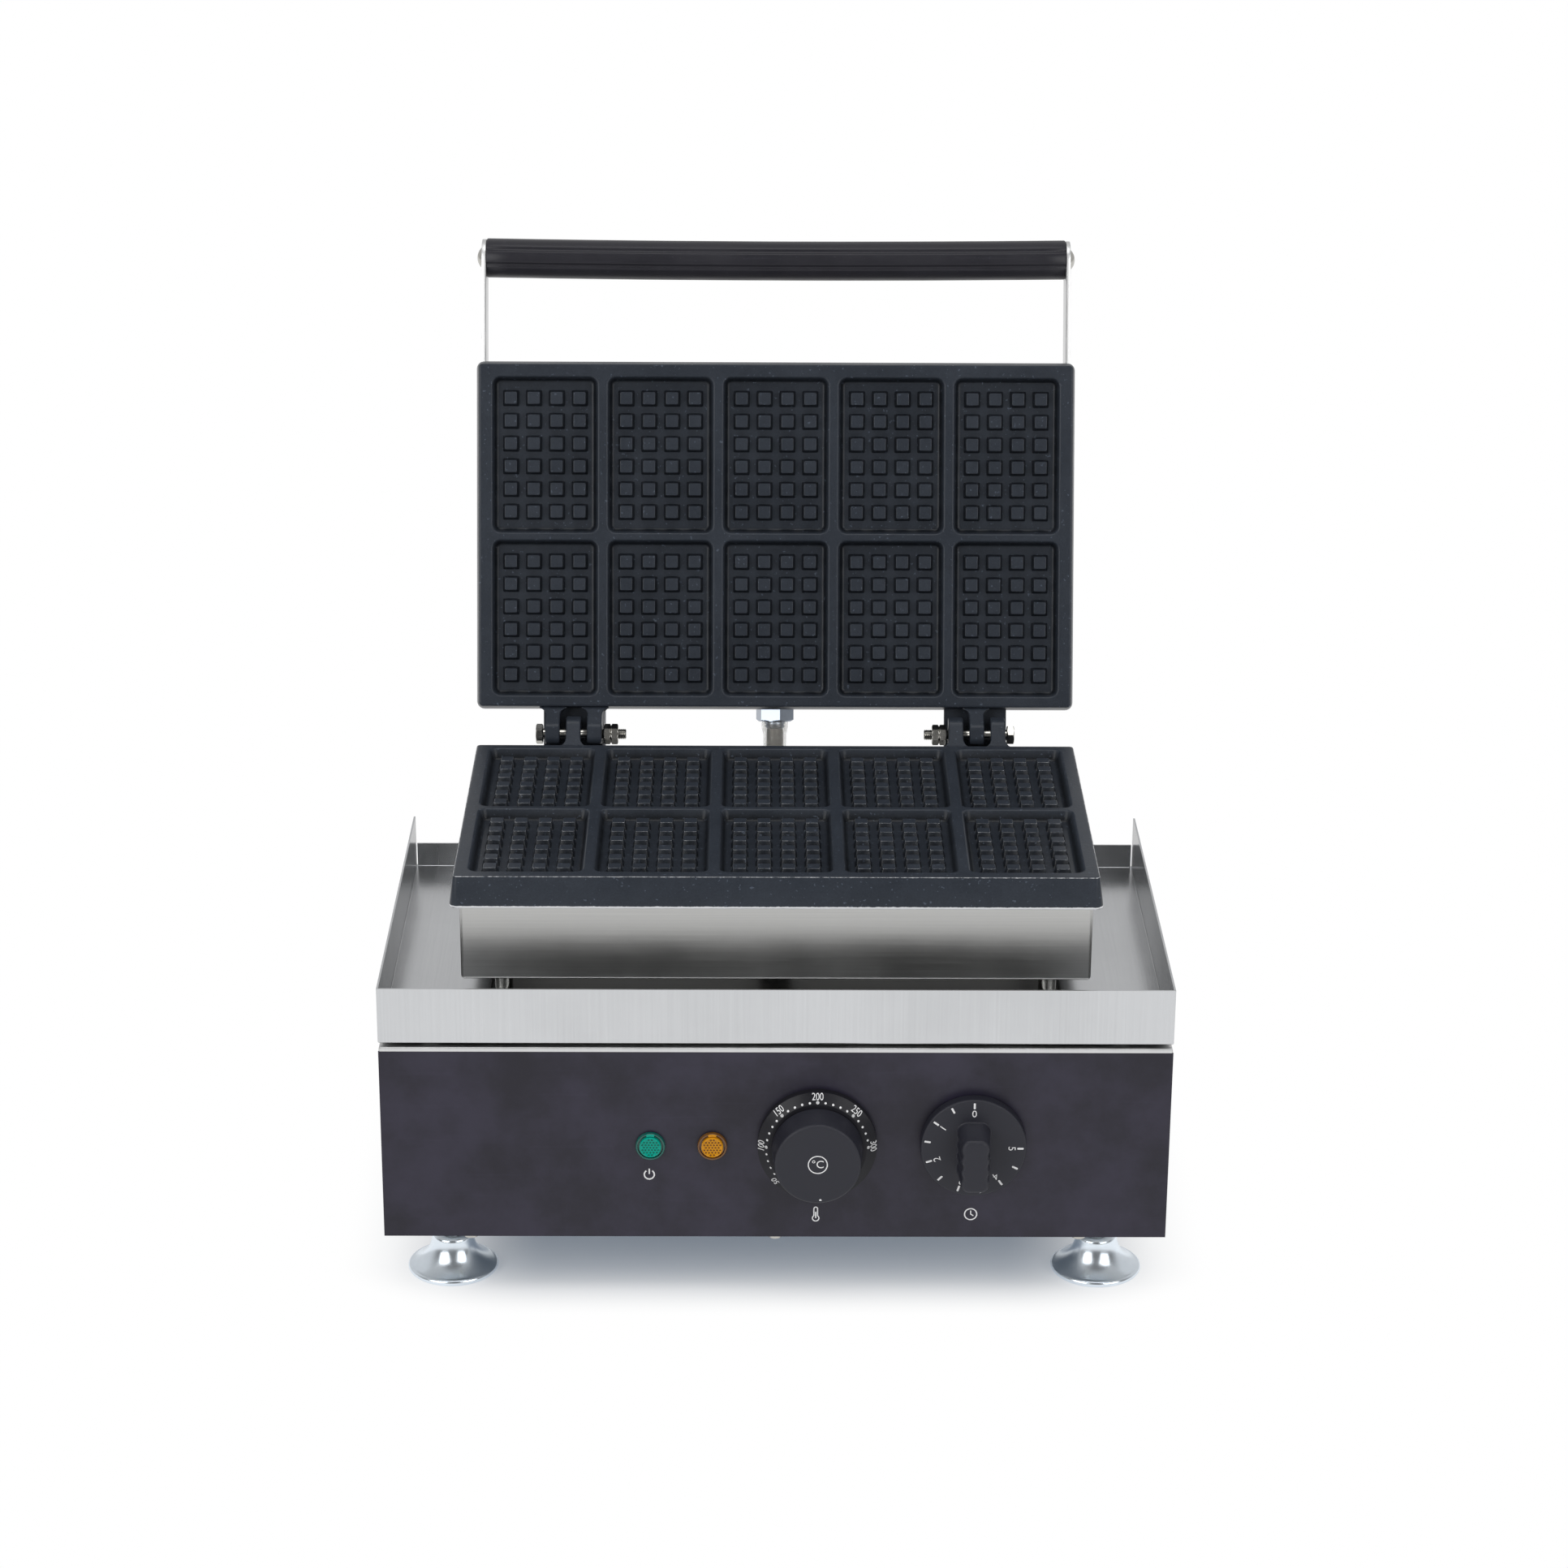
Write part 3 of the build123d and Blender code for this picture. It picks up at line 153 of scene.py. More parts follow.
class Wiring:
    """Adds nodes to a tree and links them by socket."""

    def __init__(self, tree: bpy.types.NodeTree) -> None:
        """Keep the tree that the nodes go into."""
        self.tree = tree

    def add(self, kind: str, inputs: dict[str | int, Any] | None = None, **settings: Any) -> bpy.types.Node:
        """Add one node.

        Args:
            kind: The node's type name.
            inputs: A value or an output socket for each named or numbered input.
            settings: Properties of the node.

        Returns:
            The new node.
        """
        node = self.tree.nodes.new(kind)
        for key, value in settings.items():
            setattr(node, key, value)
        for key, value in (inputs or {}).items():
            if isinstance(value, Socket):
                self.tree.links.new(value, node.inputs[key])
            else:
                node.inputs[key].default_value = value
        return node

    def math(self, operation: str, first: Any, second: Any = 0.0, clamp: bool = False) -> Socket:
        """Add a Math node and return its value."""
        node = self.add("ShaderNodeMath", {0: first, 1: second}, operation=operation, use_clamp=clamp)
        return node.outputs[0]

    def vector(self, operation: str, first: Any, second: Any) -> Socket:
        """Add a Vector Math node and return its vector."""
        return self.add("ShaderNodeVectorMath", {0: first, 1: second}, operation=operation).outputs[0]


class ShapeTree(Wiring):
    """A Geometry Nodes tree with named inputs, which ends in Realize Instances and Set Material."""

    def __init__(self, name: str) -> None:
        """Start a tree that takes a mesh and a finish.

        Args:
            name: The tree's name.
        """
        super().__init__(bpy.data.node_groups.new(name, "GeometryNodeTree"))
        self.inlet = self.tree.nodes.new("NodeGroupInput")
        self.keys: dict[str, str] = {}
        self.start = self.size("Geometry", "NodeSocketGeometry")
        self.finish = self.size("Finish", "NodeSocketMaterial")
        self.tree.interface.new_socket("Geometry", in_out="OUTPUT", socket_type="NodeSocketGeometry")

    def size(self, name: str, kind: str = "NodeSocketFloat") -> Socket:
        """Add a named input and return its socket.

        Args:
            name: The input's name.
            kind: Its socket type.

        Returns:
            The socket inside the tree.
        """
        item = self.tree.interface.new_socket(name, in_out="INPUT", socket_type=kind)
        self.keys[name] = item.identifier
        return self.inlet.outputs[name]

    def close(self, instances: Socket) -> ShapeTree:
        """Join the instances to the tree's output.

        Args:
            instances: The repeated shapes.

        Returns:
            The tree.
        """
        real = self.add("GeometryNodeRealizeInstances", {0: instances})
        dressed = self.add("GeometryNodeSetMaterial", {"Geometry": real.outputs[0], "Material": self.finish})
        self.add("NodeGroupOutput", {0: dressed.outputs[0]})
        return self

    def make(self, values: dict[str, Any], start: Mesh | None = None) -> Mesh:
        """Run the tree once.

        Args:
            values: A value for each named input.
            start: The mesh that goes in, or nothing.

        Returns:
            The plain mesh that comes out.
        """
        holder = put_in_scene("holder", start or bpy.data.meshes.new("holder"))
        modifier = holder.modifiers.new("shape", "NODES")
        modifier.node_group = self.tree
        for name, value in values.items():
            modifier[self.keys[name]] = value
        graph = bpy.context.evaluated_depsgraph_get()
        mesh = bpy.data.meshes.new_from_object(holder.evaluated_get(graph))
        holder.modifiers.remove(modifier)
        bpy.data.objects.remove(holder)
        return mesh


class Repeats:
    """The trees that repeat a shape, each built on its first use."""

    def grid_points(self, tree: ShapeTree, name: str) -> Socket:
        """Add the inputs and nodes of one rectangular grid of points.

        Args:
            tree: The tree to add to.
            name: First word of the input names.

        Returns:
            The grid's mesh.
        """
        inputs: dict[str | int, Any] = {}
        for axis, count_name in (("X", "columns"), ("Y", "rows")):
            count = tree.size(f"{name} {count_name}", "NodeSocketInt")
            pitch = tree.size(f"{name} pitch {axis}")
            inputs[f"Vertices {axis}"] = count
            inputs[f"Size {axis}"] = tree.math("MULTIPLY", tree.math("SUBTRACT", count, 1.0), pitch)
        return tree.add("GeometryNodeMeshGrid", inputs).outputs["Mesh"]

    def shape_input(self, tree: ShapeTree) -> Socket:
        """Add the input for the repeated shape and return its geometry."""
        shape = tree.size("Shape", "NodeSocketObject")
        return tree.add("GeometryNodeObjectInfo", {"Object": shape, "As Instance": True}).outputs["Geometry"]

    @cached_property
    def grid(self) -> ShapeTree:
        """The tree that repeats a shape on a grid, and that grid on a wider one."""
        tree = ShapeTree("shape on a grid of grids")
        shape = self.shape_input(tree)
        inner = self.grid_points(tree, "Inner")
        block = tree.add("GeometryNodeInstanceOnPoints", {"Points": inner, "Instance": shape})
        outer = self.grid_points(tree, "Outer")
        links = {"Points": outer, "Instance": block.outputs[0]}
        return tree.close(tree.add("GeometryNodeInstanceOnPoints", links).outputs[0])

    @cached_property
    def ring(self) -> ShapeTree:
        """The tree that repeats a shape round a circle and turns it with the circle."""
        tree = ShapeTree("shape round a circle")
        shape = self.shape_input(tree)
        count = tree.size("Count", "NodeSocketInt")
        radius = tree.size("Radius")
        first = tree.size("First angle")
        step = tree.size("Step angle")
        line = tree.add("GeometryNodeMeshLine", {"Count": count})
        index = tree.add("GeometryNodeInputIndex").outputs[0]
        angle = tree.math("ADD", first, tree.math("MULTIPLY", index, step))
        across = tree.math("MULTIPLY", tree.math("SINE", angle), tree.math("MULTIPLY", radius, -1.0))
        up = tree.math("MULTIPLY", tree.math("COSINE", angle), radius)
        place = tree.add("ShaderNodeCombineXYZ", {"X": across, "Y": up}).outputs[0]
        moved = tree.add("GeometryNodeSetPosition", {"Geometry": line.outputs[0], "Position": place})
        turn = tree.add("ShaderNodeCombineXYZ", {"Z": angle}).outputs[0]
        links = {"Points": moved.outputs[0], "Instance": shape, "Rotation": turn}
        return tree.close(tree.add("GeometryNodeInstanceOnPoints", links).outputs[0])

    @cached_property
    def places(self) -> ShapeTree:
        """The tree that puts a shape at each point of the mesh, turned by the point's own angles."""
        tree = ShapeTree("shape at places")
        shape = self.shape_input(tree)
        turn = tree.add("GeometryNodeInputNamedAttribute", {"Name": "turn"}, data_type="FLOAT_VECTOR")
        links = {"Points": tree.start, "Instance": shape, "Rotation": turn.outputs["Attribute"]}
        return tree.close(tree.add("GeometryNodeInstanceOnPoints", links).outputs[0])

    def run(
        self, tree: ShapeTree, shape: Shaper, finish: Finish, values: dict[str, Any],
        start: Mesh | None = None,
    ) -> Mesh:
        """Run one of the trees on a shape.

        Args:
            tree: The tree that repeats the shape.
            shape: The shape, about its own origin.
            finish: The finish of the result.
            values: The tree's other inputs.
            start: The mesh that goes in, or nothing.

        Returns:
            The mesh of all the copies, in millimetres.
        """
        copied = bpy.data.objects.new("repeated shape", shape.mesh("repeated shape"))
        mesh = tree.make({"Shape": copied, "Finish": finish.material()} | values, start)
        bpy.data.objects.remove(copied)
        return mesh

    def on_grid(
        self, shape: Shaper, inner: Sequence[float], outer: Sequence[float], finish: Finish
    ) -> Mesh:
        """Repeat a shape on a grid of grids.

        Args:
            shape: The shape, about its own origin.
            inner: Columns, rows and the two pitches of the small grid.
            outer: The same of the wide grid.
            finish: The finish of the result.

        Returns:
            The mesh of all the copies, in millimetres.
        """
        words = ("columns", "rows", "pitch X", "pitch Y")
        values = {f"Inner {word}": number for word, number in zip(words, inner)}
        values |= {f"Outer {word}": number for word, number in zip(words, outer)}
        return self.run(self.grid, shape, finish, values)

    def round_circle(
        self, shape: Shaper, count: int, radius: float, first: float, step: float, finish: Finish
    ) -> Mesh:
        """Repeat a shape, with its Y outwards, round a circle, anticlockwise from Y by steps in degrees."""
        angles = {"First angle": math.radians(first), "Step angle": math.radians(step)}
        return self.run(self.ring, shape, finish, {"Count": count, "Radius": radius} | angles)

    def at_places(self, shape: Shaper, places: Sequence[Matrix], finish: Finish) -> Mesh:
        """Repeat a shape at places.

        Args:
            shape: The shape, about its own origin.
            places: Where the copies go.
            finish: The finish of the result.

        Returns:
            The mesh of all the copies, in millimetres.
        """
        points = bpy.data.meshes.new("places")
        points.from_pydata([place.translation for place in places], [], [])
        turn = points.attributes.new("turn", "FLOAT_VECTOR", "POINT")
        for index, place in enumerate(places):
            turn.data[index].vector = place.to_euler()
        return self.run(self.places, shape, finish, {}, points)

    def fit_copies(
        self, name: str, finish: Finish, body: Body, node: str,
        *copies: tuple[Shaper, Sequence[Matrix]],
    ) -> None:
        """Make one piece of shapes that repeat at places.

        Args:
            name: The piece's name.
            finish: Its finish.
            body: The body that it is fixed to.
            node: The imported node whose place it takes.
            copies: Each shape with its places.
        """
        shaper = Shaper()
        for shape, places in copies:
            shaper.add_mesh(self.at_places(shape, places, finish))
        shaper.fit(name, finish, body, node)


REPEATS = Repeats()


# Shader node groups and finishes


class ShadeGroup(Wiring):
    """A shader node group with named inputs and outputs."""

    def __init__(self, name: str, inputs: dict[str, Any], outputs: Sequence[str]) -> None:
        """Make the group's sockets.

        Args:
            name: The group's name.
            inputs: Input names with their first values, numbers or triples.
            outputs: Names of the values that come out.
        """
        super().__init__(bpy.data.node_groups.new(name, "ShaderNodeTree"))
        for label, value in inputs.items():
            kind = "NodeSocketVector" if isinstance(value, tuple) else "NodeSocketFloat"
            self.tree.interface.new_socket(label, in_out="INPUT", socket_type=kind).default_value = value
        for label in outputs:
            self.tree.interface.new_socket(label, in_out="OUTPUT", socket_type="NodeSocketFloat")
        self.inlet = self.tree.nodes.new("NodeGroupInput")
        self.place = self.add("ShaderNodeTexCoord")

    def noise(self, scale: Any, detail: float, roughness: float = 0.5, vector: Any = None) -> Socket:
        """Add a noise on the object's own coordinates and return its value."""
        inputs = {"Vector": vector or self.place.outputs["Object"], "Scale": scale, "Detail": detail}
        return self.add("ShaderNodeTexNoise", inputs | {"Roughness": roughness}).outputs[0]

    def ramp(self, value: Any, low: float, high: float) -> Socket:
        """Spread the values between two limits over 0 to 1 and return them."""
        inputs = {0: value, 1: low, 2: high}
        return self.add("ShaderNodeMapRange", inputs, interpolation_type="SMOOTHSTEP").outputs[0]

    def close(self, results: dict[str, Socket]) -> bpy.types.NodeTree:
        """Join the results to the group's outputs and return the group."""
        self.add("NodeGroupOutput", dict(results))
        return self.tree


class Surfaces:
    """The effects that several finishes share, each a node group that is built on its first use."""

    @cached_property
    def lines(self) -> bpy.types.NodeTree:
        """Fine lines of a brushed sheet, with their own direction on faces that look sideways."""
        ways = {"Main": (10.0, 900.0, 900.0), "Side": (900.0, 10.0, 900.0)}
        group = ShadeGroup("brushed lines", ways, ["Lines"])
        place = group.place.outputs["Object"]
        main = group.noise(1.0, 4.0, 0.7, group.vector("MULTIPLY", place, group.inlet.outputs["Main"]))
        side = group.noise(1.0, 4.0, 0.7, group.vector("MULTIPLY", place, group.inlet.outputs["Side"]))
        facing = group.add("ShaderNodeSeparateXYZ", {0: group.place.outputs["Normal"]}).outputs["X"]
        sideways = group.math("GREATER_THAN", group.math("ABSOLUTE", facing), FACING_LIMIT)
        chosen = group.add("ShaderNodeMix", {0: sideways, 2: main, 3: side}, data_type="FLOAT").outputs[0]
        return group.close({"Lines": chosen})

    @cached_property
    def speckle(self) -> bpy.types.NodeTree:
        """The grain of a cast or moulded face, fine on top of coarse."""
        group = ShadeGroup("cast speckle", {"Scale": 900.0}, ["Speckle", "Flecks"])
        scale = group.inlet.outputs["Scale"]
        fine = group.noise(scale, 3.0, 0.6)
        coarse = group.noise(group.math("MULTIPLY", scale, 0.23), 2.0)
        both = group.math("ADD", group.math("MULTIPLY", fine, 0.65), group.math("MULTIPLY", coarse, 0.35))
        flecks = group.ramp(group.noise(group.math("MULTIPLY", scale, 0.6), 1.0), 0.69, 0.76)
        return group.close({"Speckle": both, "Flecks": flecks})

    @cached_property
    def marks(self) -> bpy.types.NodeTree:
        """Soft smudges and thin scratches left by handling."""
        group = ShadeGroup("handling marks", {"Scale": 20.0}, ["Smudges", "Scratches"])
        scale = group.inlet.outputs["Scale"]
        smudges = group.ramp(group.noise(scale, 5.0, 0.62), 0.3, 0.72)
        place = group.vector("MULTIPLY", group.place.outputs["Object"], (14.0, 60.0, 420.0))
        scratches = group.ramp(group.noise(1.0, 2.0, 0.4, place), 0.66, 0.72)
        return group.close({"Smudges": smudges, "Scratches": scratches})

    @cached_property
    def bare(self) -> bpy.types.NodeTree:
        """Bare metal where a coat stops or wears at an edge, with a ragged border, and painted shade in the
        hollows.
        """
        group = ShadeGroup("bare edge and painted shade", {"Ragged": 0.6}, ["Bare", "Painted hollow shade"])
        # Above 0 the vertex attribute is bare metal; below 0 it is painted shade in the hollows.
        edge = group.add("ShaderNodeAttribute", attribute_name="bare_edge_and_shade").outputs["Fac"]
        rough = group.math("MULTIPLY", group.noise(420.0, 3.0, 0.7), group.inlet.outputs["Ragged"])
        bare = group.ramp(group.math("SUBTRACT", edge, rough), 0.1, 0.24)
        return group.close({"Bare": bare, "Painted hollow shade": group.math("MULTIPLY", edge, -1.0, clamp=True)})


SURFACES = Surfaces()


class Channel(Enum):
    """What the effects of a finish can change."""

    TONE = "tone"
    GLOSS = "gloss"
    HEIGHT = "height"


@dataclass(frozen=True)
class Finish:
    """One surface finish: its colour, its gloss and how much of each effect it shows."""

    name: str
    slot: str
    color: Triple
    metallic: float = 0.0
    roughness: float = 0.4
    lines: tuple[Triple, Triple] | None = None
    line_tone: float = 0.0
    line_gloss: float = 0.0
    line_depth: float = 0.0
    speckle: float = 0.0
    speckle_tone: float = 0.0
    speckle_depth: float = 0.0
    fleck_tone: float = 0.0
    marks: float = 0.0
    mark_tone: float = 0.0
    mark_gloss: float = 0.0
    scratch_tone: float = 0.0
    bare_color: Triple | None = None
    # Darkening by painted shade in hollows, from negative values of the vertex attribute.
    hollow_tone: float = 0.0
    lean: float = 0.0
    # Painted shade on faces that look down, and on faces that look sideways.
    under_tone: float = 0.0
    side_tone: float = 0.0
    specular: float = 0.5
    coat: float = 0.0
    transmission: float = 0.0
    ior: float = 1.45

    def material(self) -> bpy.types.Material:
        """The finish's material, built on its first use."""
        known = bpy.data.materials.get(self.name)
        return known or FinishMaker(self).build()


class FinishMaker(Wiring):
    """Builds the node material of one finish."""

    def __init__(self, finish: Finish) -> None:
        """Start an empty material with its shader.

        Args:
            finish: The finish.
        """
        self.finish = finish
        self.material = bpy.data.materials.new(finish.name)
        self.material.use_nodes = True
        super().__init__(self.material.node_tree)
        self.tree.nodes.clear()
        self.shader = self.add("ShaderNodeBsdfPrincipled")
        self.add("ShaderNodeOutputMaterial", {0: self.shader.outputs[0]})
        self.totals: dict[Channel, Socket] = {}
        self.bare: Socket | None = None

    def effect(self, group: bpy.types.NodeTree, inputs: dict[str, Any]) -> bpy.types.Node:
        """Place one shared effect with this finish's own values.

        Args:
            group: The effect's node group.
            inputs: A value for each named input.

        Returns:
            The group's node.
        """
        node = self.add("ShaderNodeGroup", node_tree=group)
        for label, value in inputs.items():
            node.inputs[label].default_value = value
        return node

    def weigh(self, channel: Channel, value: Socket, amount: float, middle: float = 0.5) -> None:
        """Add a share of a value, about its middle, to the total of a channel.

        Args:
            channel: The channel.
            value: The value to add.
            amount: Its share.
            middle: The value that changes nothing.
        """
        if amount:
            share = self.math("MULTIPLY", self.math("SUBTRACT", value, middle), amount)
            total = self.totals.get(channel)
            self.totals[channel] = self.math("ADD", total, share) if total else share

    def layer_effects(self) -> None:
        """Gather tone, gloss and height from the effects that the finish shows."""
        finish = self.finish
        if finish.lines:
            main, side = finish.lines
            lines = self.effect(SURFACES.lines, {"Main": main, "Side": side}).outputs["Lines"]
            self.weigh(Channel.TONE, lines, finish.line_tone)
            self.weigh(Channel.GLOSS, lines, finish.line_gloss)
            self.weigh(Channel.HEIGHT, lines, finish.line_depth)
        if finish.speckle:
            grain = self.effect(SURFACES.speckle, {"Scale": finish.speckle}).outputs
            self.weigh(Channel.TONE, grain["Speckle"], finish.speckle_tone)
            self.weigh(Channel.TONE, grain["Flecks"], finish.fleck_tone, 0.0)
            self.weigh(Channel.HEIGHT, grain["Speckle"], finish.speckle_depth)
        if finish.marks:
            marks = self.effect(SURFACES.marks, {"Scale": finish.marks}).outputs
            self.weigh(Channel.TONE, marks["Smudges"], finish.mark_tone)
            self.weigh(Channel.TONE, marks["Scratches"], finish.scratch_tone, 0.0)
            self.weigh(Channel.GLOSS, marks["Smudges"], finish.mark_gloss)
        if finish.lean:
            place = self.add("ShaderNodeTexCoord").outputs["Object"]
            rise = self.add("ShaderNodeSeparateXYZ", {0: place}).outputs["Z"]
            self.weigh(Channel.HEIGHT, rise, finish.lean / (BUMP_STRENGTH * MM), 0.0)
        # Painted shade: faces that look down and faces that look sideways are darkened for how light falls on
        # them.
        if finish.under_tone or finish.side_tone:
            normal = self.add("ShaderNodeTexCoord").outputs["Normal"]
            facing = self.add("ShaderNodeSeparateXYZ", {0: normal}).outputs
            below = self.math("LESS_THAN", facing["Z"], -FACING_LIMIT)
            self.weigh(Channel.TONE, below, finish.under_tone, 0.0)
            aside = self.math("GREATER_THAN", self.math("ABSOLUTE", facing["X"]), FACING_LIMIT)
            self.weigh(Channel.TONE, aside, finish.side_tone, 0.0)
        # Bare metal at worn edges, and painted shade in hollows.
        if finish.bare_color:
            edge = self.effect(SURFACES.bare, {}).outputs
            self.bare = edge["Bare"]
            self.weigh(Channel.TONE, edge["Painted hollow shade"], finish.hollow_tone, 0.0)

    def build(self) -> bpy.types.Material:
        """Wire the effects to the shader.

        Returns:
            The material.
        """
        finish = self.finish
        self.layer_effects()
        inputs = self.shader.inputs
        values = {"Base Color": (*finish.color, 1.0), "Metallic": finish.metallic}
        values |= {"Roughness": finish.roughness, "Specular IOR Level": finish.specular}
        values |= {"Coat Weight": finish.coat, "Transmission Weight": finish.transmission, "IOR": finish.ior}
        for label, value in values.items():
            inputs[label].default_value = value
        color: Socket | None = None
        if Channel.TONE in self.totals:
            gain = self.math("MAXIMUM", self.math("ADD", self.totals[Channel.TONE], 1.0), 0.0)
            scaled = self.add("ShaderNodeVectorMath", {0: finish.color, 1: gain}, operation="MULTIPLY")
            color = scaled.outputs[0]
        if Channel.GLOSS in self.totals:
            rough = self.math("ADD", self.totals[Channel.GLOSS], finish.roughness, clamp=True)
            self.tree.links.new(rough, inputs["Roughness"])
        if finish.bare_color:
            mixed = {0: self.bare, 6: color, 7: (*finish.bare_color, 1.0)}
            color = self.add("ShaderNodeMix", mixed, data_type="RGBA").outputs[2]
            self.tree.links.new(self.bare, inputs["Metallic"])
        if color is not None:
            self.tree.links.new(color, inputs["Base Color"])
        if Channel.HEIGHT in self.totals:
            relief = {"Strength": BUMP_STRENGTH, "Distance": MM, "Height": self.totals[Channel.HEIGHT]}
            self.tree.links.new(self.add("ShaderNodeBump", relief).outputs[0], inputs["Normal"])
        return self.material


ACROSS = ((9.0, 1000.0, 1000.0), (1000.0, 9.0, 1000.0))
UPRIGHT = ((900.0, 9.0, 9.0), (9.0, 900.0, 9.0))

STAINLESS = Finish(
    "brushed stainless", "stainless", (0.53, 0.53, 0.525), 1.0, 0.34, ACROSS, 0.16, 0.14, 0.03,
    marks=11.0, mark_tone=0.06, mark_gloss=0.08,
)
# A darker copy of the brushed stainless: painted shade that tones down the lid's bright reflection of the
# lights.
LID_STEEL = replace(
    STAINLESS, name="lid stainless", color=(0.39, 0.39, 0.385), roughness=0.56, line_gloss=0.12,
)
# The lower casing, with painted shade on faces that look down.
CASING_STEEL = replace(
    STAINLESS, name="casing stainless", color=(0.53, 0.53, 0.52), roughness=0.36, line_tone=0.3,
    mark_tone=0.1, lean=0.095, under_tone=-0.85,
)
# The drip tray, with painted shade on faces that look sideways.
TRAY_STEEL = Finish(
    "tray stainless", "stainless", (0.61, 0.62, 0.635), 1.0, 0.24, UPRIGHT, 0.16, 0.06, 0.0,
    marks=9.0, mark_tone=0.1, mark_gloss=0.06, side_tone=-0.58,
)
ARM_STEEL = Finish(
    "arm stainless", "stainless", (0.71, 0.715, 0.715), 1.0, 0.4, UPRIGHT, 0.1, 0.1, 0.02,
    marks=40.0, mark_tone=0.08, mark_gloss=0.1,
)
PANEL_FILM = Finish(
    "dark front film", "panel", (0.018, 0.0155, 0.03), 0.0, 0.38, speckle=1500.0, speckle_tone=0.2,
    marks=26.0, mark_tone=0.8, mark_gloss=-0.16, scratch_tone=0.1,
)
# The non-stick coat, with bare metal at worn edges and painted shade in its hollows.
NONSTICK = Finish(
    "non-stick coat", "nonstick", (0.028, 0.034, 0.045), 0.0, 0.34, speckle=1000.0, speckle_tone=0.7,
    speckle_depth=0.16, fleck_tone=1.6, marks=22.0, mark_tone=0.16, mark_gloss=0.08,
    bare_color=(0.72, 0.73, 0.75), hollow_tone=-0.65, specular=0.28,
)
CHROME = Finish(
    "satin chrome", "chrome", (0.8, 0.87, 0.94), 1.0, 0.24, speckle=120.0, speckle_tone=0.05,
    marks=60.0, mark_tone=0.08, mark_gloss=0.06,
)
ZINC = Finish(
    "zinc plate", "zinc", (0.5, 0.49, 0.46), 1.0, 0.2, speckle=700.0, speckle_tone=0.1,
    marks=120.0, mark_tone=0.1, mark_gloss=0.08,
)
FITTING_PLATE = Finish(
    "fitting plate", "zinc", (0.3, 0.335, 0.39), 1.0, 0.2, speckle=400.0, speckle_tone=0.06,
    marks=60.0, mark_tone=0.1, mark_gloss=0.06,
)
KNOB_PLASTIC = Finish(
    "knob plastic", "knob", (0.0155, 0.016, 0.0245), 0.0, 0.5, speckle=1900.0, speckle_tone=0.18,
    speckle_depth=0.05, marks=70.0, mark_tone=0.1, mark_gloss=0.08,
)
BEZEL_PLASTIC = Finish(
    "bezel plastic", "knob", (0.015, 0.0148, 0.019), 0.0, 0.38, speckle=1900.0, speckle_tone=0.16,
    speckle_depth=0.04, marks=45.0, mark_tone=0.35, mark_gloss=0.1, specular=0.25,
)
GRIP_PHENOLIC = Finish(
    "grip phenolic", "grip", (0.02, 0.0195, 0.0255), 0.0, 0.36, ACROSS, 0.1, 0.06, 0.01,
    speckle=1300.0, speckle_tone=0.1, fleck_tone=0.5, marks=24.0, mark_tone=0.14, mark_gloss=0.14,
    scratch_tone=0.25, specular=0.35,
)
WHITE_PRINT = Finish(
    "white print", "knob", (0.86, 0.86, 0.87), 0.0, 0.5, speckle=1800.0, speckle_tone=0.1,
)
CLEAR_SLEEVE = Finish(
    "clear sleeve", "conduit", (0.86, 0.86, 0.85), 0.0, 0.1, speckle=300.0, speckle_tone=0.06,
    transmission=0.9, ior=1.3,
)
CONDUIT_CORE = Finish(
    "conduit braid", "conduit", (0.2, 0.185, 0.16), 0.55, 0.42, ACROSS, 0.35, 0.15, 0.08,
    marks=70.0, mark_tone=0.1,
)
BLACK_PLASTIC = Finish(
    "black plastic", "plastic", (0.03, 0.03, 0.031), 0.0, 0.46, speckle=1500.0, speckle_tone=0.16,
    speckle_depth=0.06, marks=60.0, mark_tone=0.1, mark_gloss=0.1,
)
HEATER_STEEL = Finish(
    "heat-dulled steel", "heater", (0.26, 0.25, 0.24), 1.0, 0.45, speckle=400.0, speckle_tone=0.4,
    marks=50.0, mark_tone=0.3, mark_gloss=0.12,
)
MINERAL_WOOL = Finish(
    "mineral wool", "wool", (0.62, 0.58, 0.46), 0.0, 0.95, ACROSS, 0.3, 0.0, 0.3,
    speckle=500.0, speckle_tone=0.3, speckle_depth=0.4,
)
COPPER = Finish(
    "bare copper", "copper", (0.66, 0.36, 0.22), 1.0, 0.3, speckle=400.0, speckle_tone=0.2,
    marks=70.0, mark_tone=0.2, mark_gloss=0.14,
)
LOOM_SLEEVE = Finish(
    "loom sleeve", "loom", (0.05, 0.05, 0.052), 0.0, 0.6, speckle=1200.0, speckle_tone=0.4,
    speckle_depth=0.2,
)
RUBBER = Finish(
    "black rubber", "rubber", (0.022, 0.022, 0.023), 0.0, 0.7, speckle=1400.0, speckle_tone=0.3,
    speckle_depth=0.1, marks=60.0, mark_tone=0.15,
)


